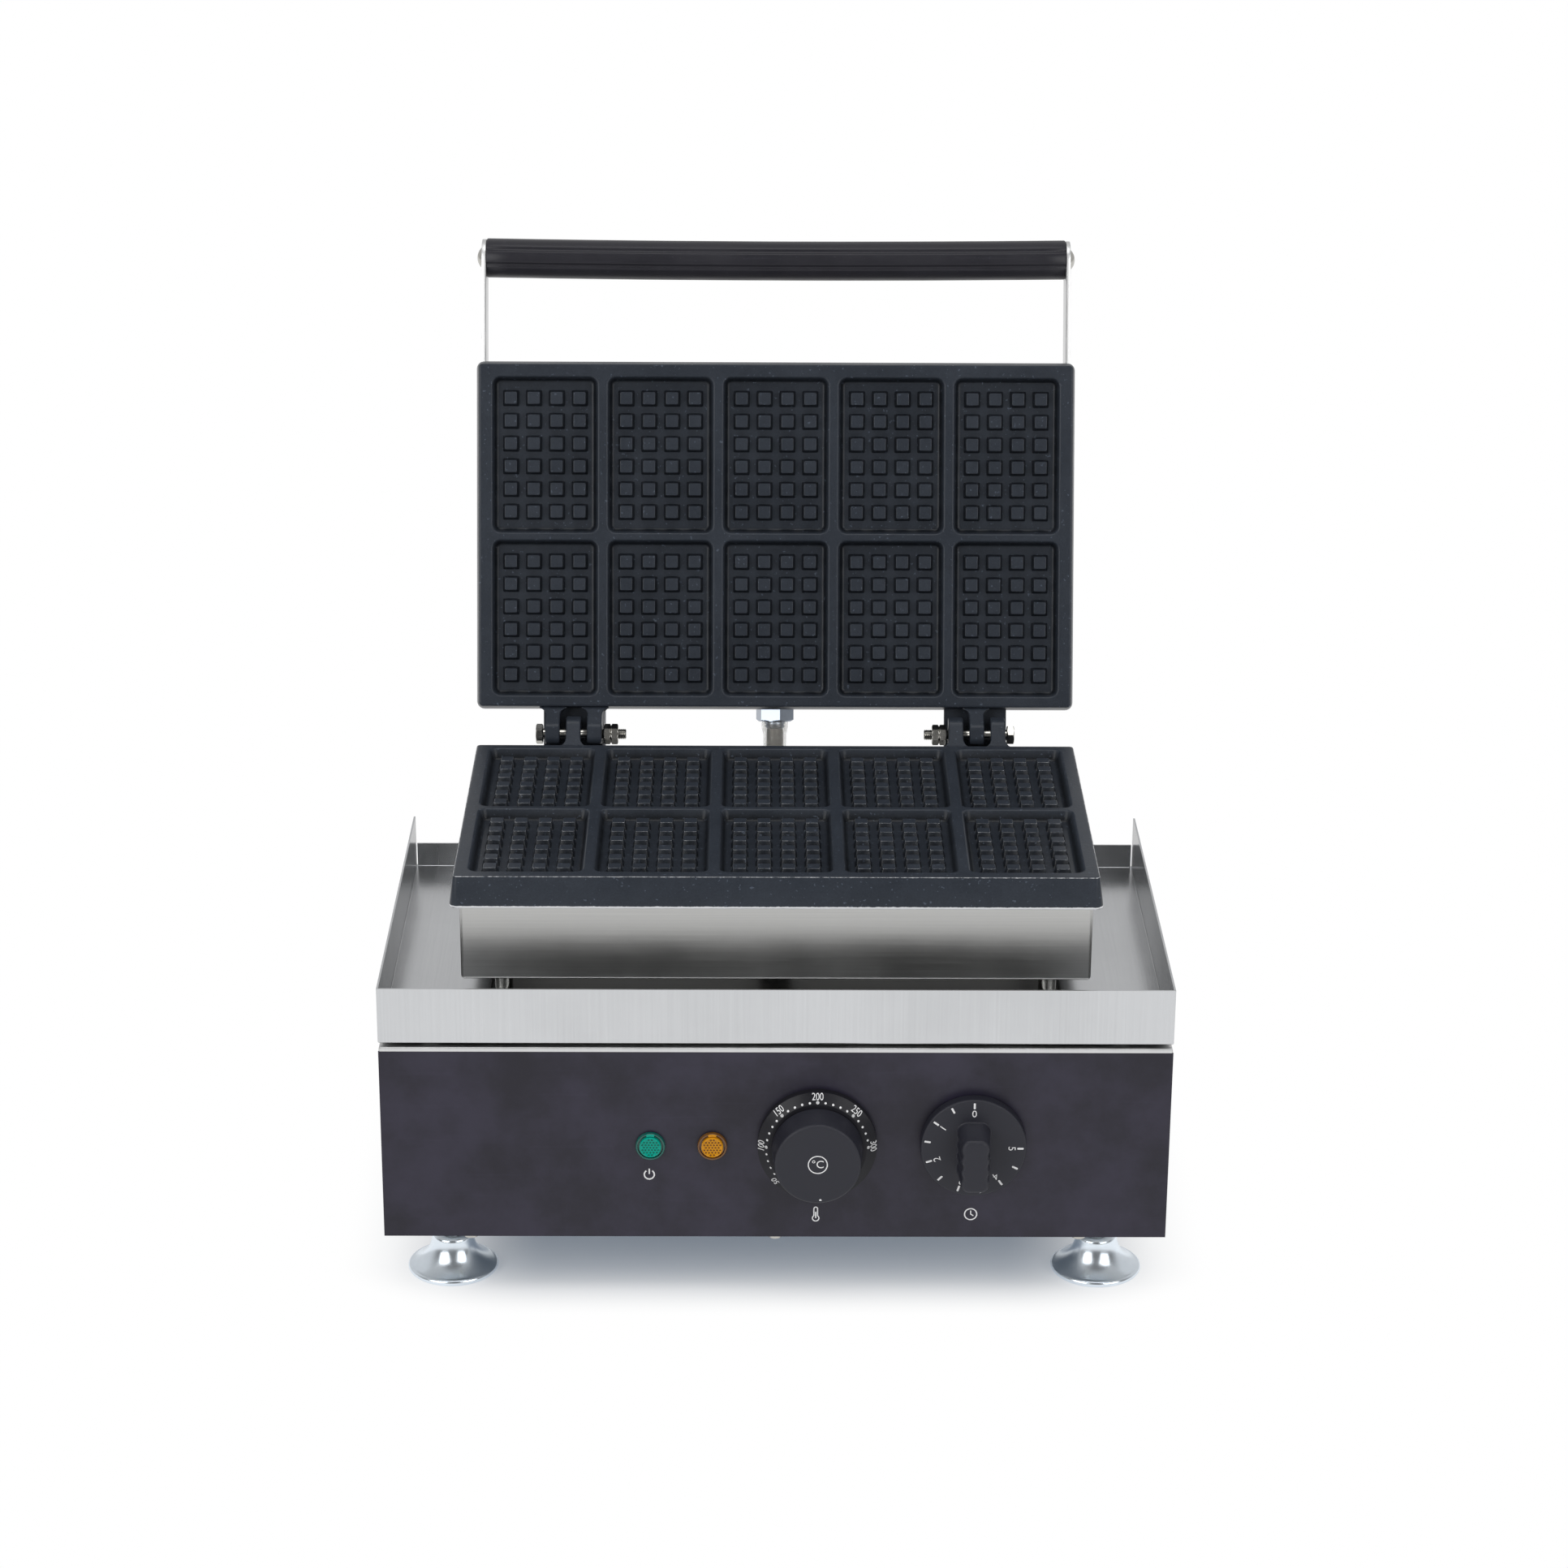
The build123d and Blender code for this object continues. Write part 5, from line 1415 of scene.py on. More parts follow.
@dataclass
class Handle:
    """The two arms, the grip between them and their screws, drawn with the lid shut."""

    axis_y: float = -199.8
    axis_z: float = 257.6
    tail_y: float = -85.3
    width: float = 21.0
    inner_x: float = 163.5
    thickness: float = 2.5
    screw_y: float = -98.8
    flush_y: float = -120.8
    dome_radius: float = 6.2
    dome_height: float = 3.0
    shank: tuple[Point2, ...] = ((0.0, -10.0), (2.6, -10.0), (3.0, -9.6))
    grip_radius: float = 11.0
    grip_edge: float = 0.8
    grip_bow: float = 1.2
    groove_angle: float = 24.0
    groove_width: float = 1.2
    groove_depth: float = 0.8

    def arm_ring(self, inset: float, x: float) -> list[Vector]:
        """The arm's outline at one side of its thickness.

        Args:
            inset: Distance inside the outline.
            x: Place across the machine.

        Returns:
            The points of the outline.
        """
        radius = self.width / 2 - inset
        ends = arc((self.axis_y, self.axis_z), radius, 90.0, 270.0, 24)
        ends += arc((self.tail_y, self.axis_z), radius, -90.0, 90.0, 24)
        return [Vector((x, y, z)) for y, z in ends]

    def build_arms(self) -> None:
        """Make the two arms with soft edges."""
        for side, name in ((-1, "left"), (1, "right")):
            shaper = Shaper()
            low, high = side * self.inner_x, side * (self.inner_x + self.thickness)
            soft = side * 0.35
            rings = [self.arm_ring(0.35, low), self.arm_ring(0.0, low + soft)]
            rings += [self.arm_ring(0.0, high - soft), self.arm_ring(0.1, high - 0.3 * soft)]
            rings += [self.arm_ring(0.35, high)]
            shaper.loft(rings, LAYOUT.open_lid())
            shaper.fit(f"handle_arm_{name}_strap", ARM_STEEL, Body.LID, f"handle_arm_{name}")

    def grip_ring(self, x: float, inset: float) -> list[Vector]:
        """The grip's outline at a place along it, with its two grooves.

        Args:
            x: Place along the grip.
            inset: Distance inside the outline.

        Returns:
            The points of the outline.
        """
        bow = self.grip_bow * (1.0 - (x / self.inner_x) ** 2)
        down = LAYOUT.open_lid().to_3x3().inverted() @ Vector((0.0, 0.0, -bow))
        points = []
        for step in range(180):
            angle = math.tau * step / 180
            from_front = math.degrees((angle + math.pi) % math.tau) - 180.0
            radius = self.grip_radius - inset
            for groove in (-self.groove_angle, self.groove_angle):
                across = math.radians(from_front - groove) * self.grip_radius / self.groove_width
                if abs(across) < 1.0:
                    radius -= self.groove_depth * math.sqrt(1.0 - across * across)
            y = self.axis_y + radius * math.sin(angle)
            points.append(Vector((x, y, self.axis_z - radius * math.cos(angle))) + down)
        return points

    def build_grip(self) -> None:
        """Make the grip."""
        end = self.inner_x - 0.02
        edge = self.grip_edge
        stations = [(-end, edge), (-end + 0.3 * edge, 0.3 * edge), (-end + edge, 0.0)]
        stations += [(-150.0 + 12.5 * step, 0.0) for step in range(25)]
        stations += [(end - edge, 0.0), (end - 0.3 * edge, 0.3 * edge), (end, edge)]
        shaper = Shaper()
        shaper.loft([self.grip_ring(x, inset) for x, inset in stations], LAYOUT.open_lid())
        shaper.fit("handle_grip_turned", GRIP_PHENOLIC, Body.LID, "handle_grip")

    def dome(self) -> Shaper:
        """One dome screw with its head above the origin.

        Returns:
            The screw's shaper.
        """
        radius = (self.dome_radius**2 + self.dome_height**2) / (2 * self.dome_height)
        rim = math.degrees(math.asin(self.dome_radius / radius))
        cap = arc((0.0, self.dome_height - radius), radius, 90.0 - rim + 2.0, 90.0, 9)
        shaper = Shaper()
        profile = [*self.shank, (3.0, 0.0), (self.dome_radius - 0.1, 0.0), (self.dome_radius, 0.15)]
        profile += cap[:-1] + [(0.0, self.dome_height)]
        shaper.lathe(profile, Matrix(), 40)
        return shaper

    def flush(self) -> Shaper:
        """One flush screw whose face is level with the arm.

        Returns:
            The screw's shaper.
        """
        shaper = Shaper()
        profile = [*self.shank, (3.0, -0.3), (2.75, 0.0), (1.2, 0.0), (1.0, -0.5), (0.0, -0.6)]
        shaper.lathe(profile, Matrix(), 36)
        return shaper

    def sides(self, y: float) -> list[Matrix]:
        """The places of a screw on both arms.

        Args:
            y: The screw's place along the arm.

        Returns:
            The two places.
        """
        x = self.inner_x + self.thickness
        turns = [(side * x, Matrix.Rotation(side * math.pi / 2, 4, "Y")) for side in (-1, 1)]
        return [LAYOUT.open_lid() @ Matrix.Translation((at, y, self.axis_z)) @ turn for at, turn in turns]

    def build(self) -> None:
        """Make the arms, the grip and the screws."""
        self.build_arms()
        self.build_grip()
        domes = (self.dome(), self.sides(self.axis_y))
        REPEATS.fit_copies("grip_screws_domed", ZINC, Body.LID, "grip_screws", domes)
        domes = (self.dome(), self.sides(self.screw_y))
        flushes = (self.flush(), self.sides(self.flush_y))
        REPEATS.fit_copies("arm_screws_domed", ZINC, Body.LID, "arm_screws", domes, flushes)


@dataclass
class Conduit:
    """The bending conduit between the lid and the base: a clear sleeve over a braid, and its fitting."""

    top: Triple = (0.0, 97.98, 219.64)
    direction: Triple = (0.0, -0.309017, -0.951057)
    length: float = 105.0
    sleeve_radius: float = 6.5
    sleeve_bore: float = 5.3
    sleeve_length: float = 62.0
    core_radius: float = 4.7
    core_bore: float = 3.4
    wall_y: float = 50.0
    wall_z: float = 257.6
    flats: float = 19.0
    flats_turn: float = 45.0
    hexagon_length: float = 12.0
    flare: float = 0.95
    barb_radius: float = 5.9
    collar_length: float = 4.0
    neck_radius: float = 6.5
    neck_length: float = 7.0
    bore_radius: float = 4.5

    def place(self) -> Matrix:
        """The conduit's upper end with Z along the conduit, downwards."""
        turn = Vector(self.direction).to_track_quat("Z", "Y").to_matrix().to_4x4()
        return Matrix.Translation(self.top) @ turn

    def tube(self, outer: Sequence[Point2], wall: float) -> Shaper:
        """A tube along the conduit, in short steps.

        Args:
            outer: Outer radius and place along the conduit of each step.
            wall: The tube's wall.

        Returns:
            The tube's shaper.
        """
        first, last = outer[0], outer[-1]
        profile = [(first[0] - 0.3, first[1]), *((radius, place) for radius, place in outer[1:-1])]
        profile += [(last[0], last[1] - 0.4), (last[0] - 0.4, last[1])]
        profile += [(radius - wall, place) for radius, place in reversed(outer)]
        shaper = Shaper()
        shaper.lathe(profile, self.place(), 40, closed=True)
        return shaper

    def sleeve_steps(self) -> list[Point2]:
        """The sleeve's outer radius along it, spread over the barb at the top and a little at its foot.

        Returns:
            Outer radius and place along the conduit of each step.
        """
        steps = []
        for step in range(61):
            place = -self.collar_length + (self.sleeve_length + self.collar_length) * step / 60
            over_barb = min(max((4.0 - place) / 5.0, 0.0), 1.0)
            at_end = min(max((place - self.sleeve_length + 5.0) / 5.0, 0.0), 1.0)
            spread = max(over_barb**2 * (3.0 - 2.0 * over_barb), 0.4 * at_end**2)
            steps.append((self.sleeve_radius + self.flare * spread, place))
        return steps

    def bend(self, piece: bpy.types.Object, *nodes: str) -> None:
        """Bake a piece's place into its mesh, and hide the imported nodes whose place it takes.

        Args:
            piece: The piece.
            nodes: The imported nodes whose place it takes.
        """
        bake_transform(piece)
        if nodes:
            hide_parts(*nodes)

    def build_fitting(self) -> None:
        """Make the hexagon fitting on the lid's wall."""
        wall = Matrix.Translation((0.0, self.wall_y, self.wall_z)) @ Matrix.Rotation(-math.pi / 2, 4, "X")
        place = LAYOUT.open_lid() @ wall
        shaper = Shaper()
        turned = place @ Matrix.Rotation(math.radians(self.flats_turn), 4, "Z")
        shaper.hexagon(self.flats, self.hexagon_length, turned, bore=self.bore_radius)
        start = self.hexagon_length - 0.1
        end = self.hexagon_length + self.collar_length
        barb = [(self.bore_radius, start), (self.barb_radius, start), (self.barb_radius, end - 2.6)]
        barb += [(self.barb_radius - 0.9, end - 2.2), (self.barb_radius - 0.1, end - 1.2)]
        barb += [(self.bore_radius + 0.2, end), (self.bore_radius, end)]
        shaper.lathe(barb, place, 48, closed=True)
        profile = [(self.bore_radius, 0.1), (self.neck_radius, 0.1), (self.neck_radius, -self.neck_length)]
        shaper.lathe(profile + [(self.bore_radius, -self.neck_length)], place, 48, closed=True)
        shaper.fit("conduit_fitting_turned", FITTING_PLATE, Body.LID, "conduit_fitting")

    def build(self) -> None:
        """Make the sleeve, the braid inside it and the fitting."""
        steps = [(self.core_radius, self.length * step / 48) for step in range(49)]
        core = self.tube(steps, self.core_radius - self.core_bore).piece("conduit_braid", CONDUIT_CORE)
        self.bend(core, "lid_conduit")
        sleeve = self.tube(self.sleeve_steps(), self.sleeve_radius - self.sleeve_bore)
        self.bend(sleeve.piece("conduit_sleeve", CLEAR_SLEEVE))
        self.build_fitting()


@dataclass
class Lamp:
    """One signal lamp: a dark dished flange, a bright lens with small pyramids, and a painted highlight at
    the top of the channel.
    """

    name: str
    lens: Finish
    facets: Finish
    flange: Finish
    x: float
    z: float = 85.4
    flange_radius: float = 7.75
    flange_height: float = 2.2
    channel_radius: float = 6.7
    channel_depth: float = 1.2
    lens_radius: float = 5.65
    lens_height: float = 3.4
    neck_radius: float = 5.0
    neck_length: float = 14.0
    key_width: float = 1.2
    facet_pitch: float = 1.65
    line_share: float = 0.866
    facet_height: float = 0.4

    def facet_places(self) -> list[Matrix]:
        """Places of the pyramids, in staggered lines inside the lens.

        Returns:
            The places.
        """
        places = []
        line_pitch = self.facet_pitch * self.line_share
        for line in range(-4, 5):
            for column in range(-4, 5):
                x = (column + 0.5 * (line % 2)) * self.facet_pitch
                y = line * line_pitch
                if math.hypot(x, y) < self.lens_radius - 0.95:
                    lift = self.lens_height - self.facet_height
                    places.append(LAYOUT.on_front(self.x + x, self.z + y, lift))
        return places

    def facet(self) -> Shaper:
        """One blunt pyramid.

        Returns:
            The pyramid's shaper.
        """
        half = 0.36 * self.facet_pitch
        shaper = Shaper()
        rows = [(half, -0.1), (half, 0.0), (0.18, self.facet_height)]
        shaper.loft([at_height(arc((0.0, 0.0), size, 30.0, 330.0, 5), height) for size, height in rows])
        return shaper

    def build(self) -> None:
        """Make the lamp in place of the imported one."""
        floor = self.flange_height - self.channel_depth
        face = self.lens_height - self.facet_height
        profile = [(0.0, -self.neck_length), (self.neck_radius, -self.neck_length), (self.neck_radius, 0.0)]
        radius, crown = self.flange_radius, self.flange_height
        profile += [(radius - 0.2, 0.0), (radius, 0.25), (radius, crown - 0.5), (radius - 0.35, crown)]
        profile += [(self.channel_radius, crown - 0.1), (self.channel_radius - 0.25, floor)]
        profile += [(self.lens_radius - 0.1, floor), (0.0, floor)]
        flange = Shaper()
        flange.lathe(profile, LAYOUT.on_front(self.x, self.z), 64)
        flange.fit(f"{self.name}_flange", self.flange, Body.BASE, self.name)
        radius, crown = self.lens_radius, self.lens_height
        profile = [(0.0, floor - 0.1), (radius + 0.1, floor - 0.1), (radius, crown - 0.5)]
        profile += [(radius - 0.4, crown - 0.1), (radius - 0.8, face), (0.0, face)]
        lens = Shaper()
        lens.lathe(profile, LAYOUT.on_front(self.x, self.z), 64)
        # Painted highlight: a strip of lens colour across the top of the flange's channel, where the top
        # light would reflect.
        key = arc((0.0, 0.0), self.channel_radius, 72.0, 108.0, 8)
        lifted = LAYOUT.on_front(self.x, self.z, floor + 0.3)
        lens.stroke(key, self.key_width, self.channel_depth, lifted, False)
        lens.fit(f"{self.name}_lens", self.lens, Body.BASE)
        # The pyramids take the darker facet finish, painted shade.
        facets = Shaper()
        facets.add_mesh(REPEATS.at_places(self.facet(), self.facet_places(), self.facets))
        facets.fit(f"{self.name}_facets", self.facets, Body.BASE)


@dataclass
class ThermostatDial:
    """The thermostat's knob, and the printed scale on its bezel."""

    x: float = 21.6
    z: float = 87.1
    bezel_radius: float = 31.0
    bezel_rim: float = 4.4
    bezel_land: float = 25.5
    bezel_height: float = 8.0
    knob_gap: float = 0.6
    knob_height: float = 17.3
    base_radius: float = 23.75
    front_radius: float = 22.4
    edge: float = 1.5
    bore_radius: float = 3.05
    dot_ring: float = 26.5
    dot_radius: float = 0.62
    big_dot_radius: float = 0.85
    number_ring: float = 29.0
    number_step: float = 44.0
    number_height: float = 3.9
    number_squeeze: float = 0.74
    print_height: float = 0.05
    mark_radius: float = 4.9
    mark_width: float = 0.55
    unit_height: float = 4.2
    pointer_drop: float = 20.3
    pointer_aside: float = 1.5
    pointer_radius: float = 0.65
    pointer_height: float = 0.18

    def on_slope(self, angle: float, radius: float) -> Matrix:
        """A place on the bezel's slope, with Y outwards down the slope and Z off its surface.

        Args:
            angle: Turn from the top in degrees, clockwise as seen from the front.
            radius: Distance from the dial's axis.

        Returns:
            The matrix of the place.
        """
        fall = (self.bezel_height - self.bezel_rim) / (self.bezel_radius - self.bezel_land)
        height = self.bezel_rim + (self.bezel_radius - radius) * fall
        middle = LAYOUT.on_front(self.x, self.z, turn=-angle)
        tilt = Matrix.Rotation(-math.atan(fall), 4, "X")
        return middle @ Matrix.Translation((0.0, radius, height + 0.02)) @ tilt

    def dot(self, radius: float) -> Shaper:
        """One printed dot.

        Args:
            radius: The dot's radius.

        Returns:
            The dot's shaper.
        """
        shaper = Shaper()
        shaper.disc(radius, self.print_height, Matrix(), 16)
        return shaper

    def build_scale(self) -> None:
        """Make the printed dots and numbers of the bezel."""
        shaper = Shaper()
        first = -3 * self.number_step
        small = [self.on_slope(first + self.number_step * step / 5, self.dot_ring) for step in range(1, 26)]
        shaper.add_mesh(REPEATS.at_places(self.dot(self.dot_radius), small, WHITE_PRINT))
        big = [self.on_slope(first + self.number_step * step, self.dot_ring) for step in range(1, 6)]
        shaper.add_mesh(REPEATS.at_places(self.dot(self.big_dot_radius), big, WHITE_PRINT))
        squeeze = Matrix.Diagonal((self.number_squeeze, 1.0, 1.0, 1.0))
        for step, number in enumerate((50, 100, 150, 200, 250, 300)):
            place = self.on_slope(first + self.number_step * step, self.number_ring)
            shaper.text(str(number), self.number_height, place @ squeeze)
        shaper.fit("thermostat_scale", WHITE_PRINT, Body.BASE)

    def build_knob(self) -> None:
        """Make the knob with its slightly hollow face."""
        place = LAYOUT.on_front(self.x, self.z, self.bezel_height + self.knob_gap)
        top = self.knob_height
        front = self.front_radius
        rounding = arc((front - self.edge, top - self.edge), self.edge, 4.0, 90.0, 8)
        profile = [(self.bore_radius, 0.0), (self.base_radius - 0.4, 0.0), (self.base_radius, 0.4)]
        profile += rounding + [(front - 3.0, top - 0.12), (0.5 * front, top - 0.2), (0.0, top - 0.22)]
        inside = [(0.0, top - 2.0), (self.bore_radius, top - 2.0)]
        shaper = Shaper()
        shaper.lathe(inside + profile, place, 96)
        shaper.fit("thermostat_knob_turned", KNOB_PLASTIC, Body.THERMOSTAT, "thermostat_knob")

    def build_knob_print(self) -> None:
        """Make the ringed unit and the pointer dot on the knob's face."""
        proud = self.bezel_height + self.knob_gap + self.knob_height - 0.2
        middle = LAYOUT.on_front(self.x, self.z, proud)
        shaper = Shaper()
        shaper.text("°C", self.unit_height, middle)
        shaper.stroke(arc((0.0, 0.0), self.mark_radius, 0.0, 352.0, 44), self.mark_width, 0.06, middle, True)
        below = LAYOUT.on_front(self.x + self.pointer_aside, self.z - self.pointer_drop, proud)
        shaper.disc(self.pointer_radius, self.pointer_height, below, 24)
        shaper.fit("thermostat_knob_print", WHITE_PRINT, Body.THERMOSTAT)

    def build(self) -> None:
        """Make the scale, the knob and its print."""
        self.build_scale()
        self.build_knob()
        self.build_knob_print()


@dataclass
class TimerDial:
    """The timer's dial with its grip bar and printed scale."""

    x: float = 102.7
    z: float = 87.5
    gap: float = 0.6
    radius: float = 27.65
    thickness: float = 6.8
    edge: float = 1.2
    recess_radius: float = 9.0
    recess_depth: float = 3.2
    bore_radius: float = 3.05
    bar_width: float = 16.8
    bar_length: float = 32.0
    bar_height: float = 19.8
    bar_drop: float = 1.35
    bar_corner: float = 5.5
    bar_lean: float = 0.0629
    bar_edge: float = 2.0
    scallop_radius: float = 4.5
    scallop_depth: float = 0.6
    scallop_pitch: float = 6.4
    tick_ring: float = 24.3
    tick_width: float = 1.05
    tick_length: float = 3.3
    tick_count: int = 11
    tick_step: float = 27.0
    figure_ring: float = 19.7
    figure_height: float = 3.8
    print_height: float = 0.05

    def bar_ring(self, height: float, inset: float) -> list[Vector]:
        """The grip bar's outline at a height, with finger hollows along both long sides.

        Args:
            height: Height above the dial.
            inset: Distance inside the outline.

        Returns:
            The points of the outline.
        """
        lean = self.bar_lean * height + inset
        width = self.bar_width - 2 * lean
        length = self.bar_length - 2 * lean
        radius = max(self.bar_corner - lean, 1.0)
        ends = rounded_rectangle(width, length, radius, 8)
        straight = length / 2 - radius
        points: list[Point2] = []
        for corner in range(4):
            points += ends[corner * 9 : corner * 9 + 9]
            if corner in (1, 3):
                side = -1 if corner == 1 else 1
                for step in range(1, 60):
                    along = (1.0 - step / 30) * straight
                    points.append((side * (width / 2 - self.dip(along)), -side * along))
        return at_height(points, height)

    def dip(self, along: float) -> float:
        """Depth of the nearest finger hollow at a place along the bar.

        Args:
            along: Distance from the bar's middle.

        Returns:
            The depth, 0 between the hollows.
        """
        number = min(max(round(along / self.scallop_pitch), -1), 1)
        aside = abs(along - number * self.scallop_pitch)
        chord = math.sqrt(max(self.scallop_radius**2 - aside**2, 0.0))
        return max(chord - self.scallop_radius + self.scallop_depth, 0.0)

    def build_knob(self) -> None:
        """Make the dial and the bar."""
        front = self.gap + self.thickness
        place = LAYOUT.on_front(self.x, self.z)
        rounding = arc((self.radius - self.edge, front - self.edge), self.edge, 0.0, 90.0, 6)
        profile = [(0.0, front - 2.0), (self.bore_radius, front - 2.0)]
        profile += [(self.bore_radius, self.gap + self.recess_depth)]
        profile += [(self.recess_radius, self.gap + self.recess_depth), (self.recess_radius, self.gap)]
        profile += [(self.radius - 0.4, self.gap), (self.radius, self.gap + 0.4)]
        shaper = Shaper()
        shaper.lathe(profile + rounding + [(0.0, front)], place, 96)
        levels = [(-0.1, -0.8), (0.25, -0.3), (0.8, 0.0), (self.bar_height - self.bar_edge, 0.0)]
        for step in range(1, 7):
            angle = math.radians(15 * step)
            lift = self.bar_height - self.bar_edge * (1.0 - math.sin(angle))
            levels.append((lift, self.bar_edge * (1.0 - math.cos(angle))))
        bar = LAYOUT.on_front(self.x, self.z - self.bar_drop, front)
        shaper.loft([self.bar_ring(height, inset) for height, inset in levels], bar)
        shaper.fit("timer_knob_moulded", KNOB_PLASTIC, Body.TIMER, "timer_knob")

    def build_scale(self) -> None:
        """Make the printed ticks and figures."""
        front = self.gap + self.thickness
        tick = Shaper()
        outline = rounded_rectangle(self.tick_width, self.tick_length, 0.3, 2)
        tick.loft([at_height(outline, 0.0), at_height(outline, self.print_height)])
        shaper = Shaper()
        ticks = REPEATS.round_circle(tick, self.tick_count, self.tick_ring, 0.0, self.tick_step, WHITE_PRINT)
        shaper.add_mesh(ticks, LAYOUT.on_front(self.x, self.z, front))
        for figure in range(self.tick_count // 2 + 1):
            turn = 2 * self.tick_step * figure
            x = self.x - self.figure_ring * math.sin(math.radians(turn))
            z = self.z + self.figure_ring * math.cos(math.radians(turn))
            shaper.text(str(figure), self.figure_height, LAYOUT.on_front(x, z, front + 0.02, turn))
        shaper.fit("timer_scale", WHITE_PRINT, Body.TIMER)

    def build(self) -> None:
        """Make the dial and its scale."""
        self.build_knob()
        self.build_scale()


@dataclass
class PanelPrint:
    """Small signs on the front panel: power, temperature and time."""

    width: float = 0.75
    height: float = 0.05
    power: Point2 = (-65.8, 68.4)
    power_radius: float = 2.6
    warmth: Point2 = (21.2, 45.4)
    bulb_radius: float = 1.7
    bulb_drop: float = 2.3
    stem_radius: float = 0.95
    stem_rise: float = 3.2
    time: Point2 = (102.4, 45.6)
    clock_radius: float = 3.2

    def build(self) -> None:
        """Make the three signs."""
        shaper = Shaper()
        place = LAYOUT.on_front(*self.power)
        open_ring = arc((0.0, 0.0), self.power_radius, 125.0, 415.0, 36)
        shaper.stroke(open_ring, self.width, self.height, place, False)
        shaper.stroke([(0.0, 3.4), (0.0, 0.3)], self.width, self.height, place, False)
        place = LAYOUT.on_front(*self.warmth)
        bulb = arc((0.0, -self.bulb_drop), self.bulb_radius, 125.0, 415.0, 28)
        stem = arc((0.0, self.stem_rise), self.stem_radius, 0.0, 180.0, 10)
        shaper.stroke(bulb + stem, self.width * 0.8, self.height, place, True)
        shaper.stroke([(0.0, 1.4), (0.0, -self.bulb_drop)], self.width, self.height, place, False)
        place = LAYOUT.on_front(*self.time)
        face = arc((0.0, 0.0), self.clock_radius, 0.0, 350.0, 40)
        shaper.stroke(face, self.width * 0.85, self.height, place, True)
        shaper.stroke([(0.0, 2.1), (0.0, 0.0), (1.5, -0.9)], self.width * 0.85, self.height, place, False)
        shaper.fit("panel_signs", WHITE_PRINT, Body.BASE)


@dataclass
class FrontHem:
    """The bright folded hem above the front panel, along the base's top edge."""

    half_length: float = 204.3
    front: float = -163.35
    back: float = -160.5
    low: float = 138.75
    high: float = 141.15
    bend: float = 0.7

    def build(self) -> None:
        """Make the hem."""
        outline = arc((self.front + self.bend, self.high - self.bend), self.bend, 180.0, 90.0, 6)
        outline = [(self.front, self.low), *outline, (self.back, self.high), (self.back, self.low)]
        ends = (-self.half_length, self.half_length)
        shaper = Shaper()
        shaper.loft([[Vector((x, y, z)) for y, z in outline] for x in ends])
        # The hem takes the brighter arm steel: a polished edge, and also a painted highlight of the front
        # light.
        shaper.fit("front_hem", ARM_STEEL, Body.BASE)


@dataclass
class Foot:
    """One bell-shaped foot on its threaded stud."""

    body: Body
    x: float
    y: float
    rim_radius: float = 24.0
    rim_height: float = 3.6
    neck_radius: float = 11.0
    neck_bottom: float = 18.5
    neck_top: float = 22.0
    flare_bow: float = 2.6
    stud_radius: float = 4.0
    stud_top: float = 48.2
    thread_pitch: float = 1.25
    thread_root: float = 0.6
    thread_crest: float = 1.2
    thread_depth: float = 0.45
    hollow_radius: float = 19.0
    hollow_depth: float = 0.6

    def flare(self) -> list[Point2]:
        """Points of the hollow flare from the rim up to the neck.

        Returns:
            Radius and height of each point.
        """
        start = Vector((self.rim_radius - self.rim_height / 2, self.rim_height))
        end = Vector((self.neck_radius, self.neck_bottom))
        side = end - start
        hollow = Vector((-side.y, side.x)).normalized() * self.flare_bow
        if hollow.x > 0:
            hollow = -hollow
        points = []
        for step in range(1, 24):
            share = step / 24
            points.append(tuple(start + side * share + hollow * 4 * share * (1 - share)))
        return points

    def build(self) -> None:
        """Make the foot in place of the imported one."""
        half = self.rim_height / 2
        hollow = self.hollow_radius
        profile: list[Point2] = [(0.0, self.hollow_depth), (hollow - 0.5, self.hollow_depth), (hollow, 0.0)]
        profile.append((self.rim_radius - half, 0.0))
        profile += arc((self.rim_radius - half, half), half, -78.0, 90.0, 10) + self.flare()
        shoulder = self.neck_top - self.neck_bottom
        profile += arc((self.neck_radius - shoulder, self.neck_bottom), shoulder, 0.0, 90.0, 8)
        profile.append((self.stud_radius - 0.1, self.neck_top))
        height = self.neck_top
        while height < self.stud_top - 1.5:
            profile.append((self.stud_radius - self.thread_depth, height + self.thread_root))
            profile.append((self.stud_radius - 0.02, height + self.thread_crest))
            height += self.thread_pitch
        profile += [(self.stud_radius - 0.6, self.stud_top), (0.0, self.stud_top)]
        shaper = Shaper()
        shaper.lathe(profile, Matrix.Translation((self.x, self.y, 0.0)), 80)
        shaper.fit(f"{self.body.value}_turned", CHROME, self.body, self.body.value)


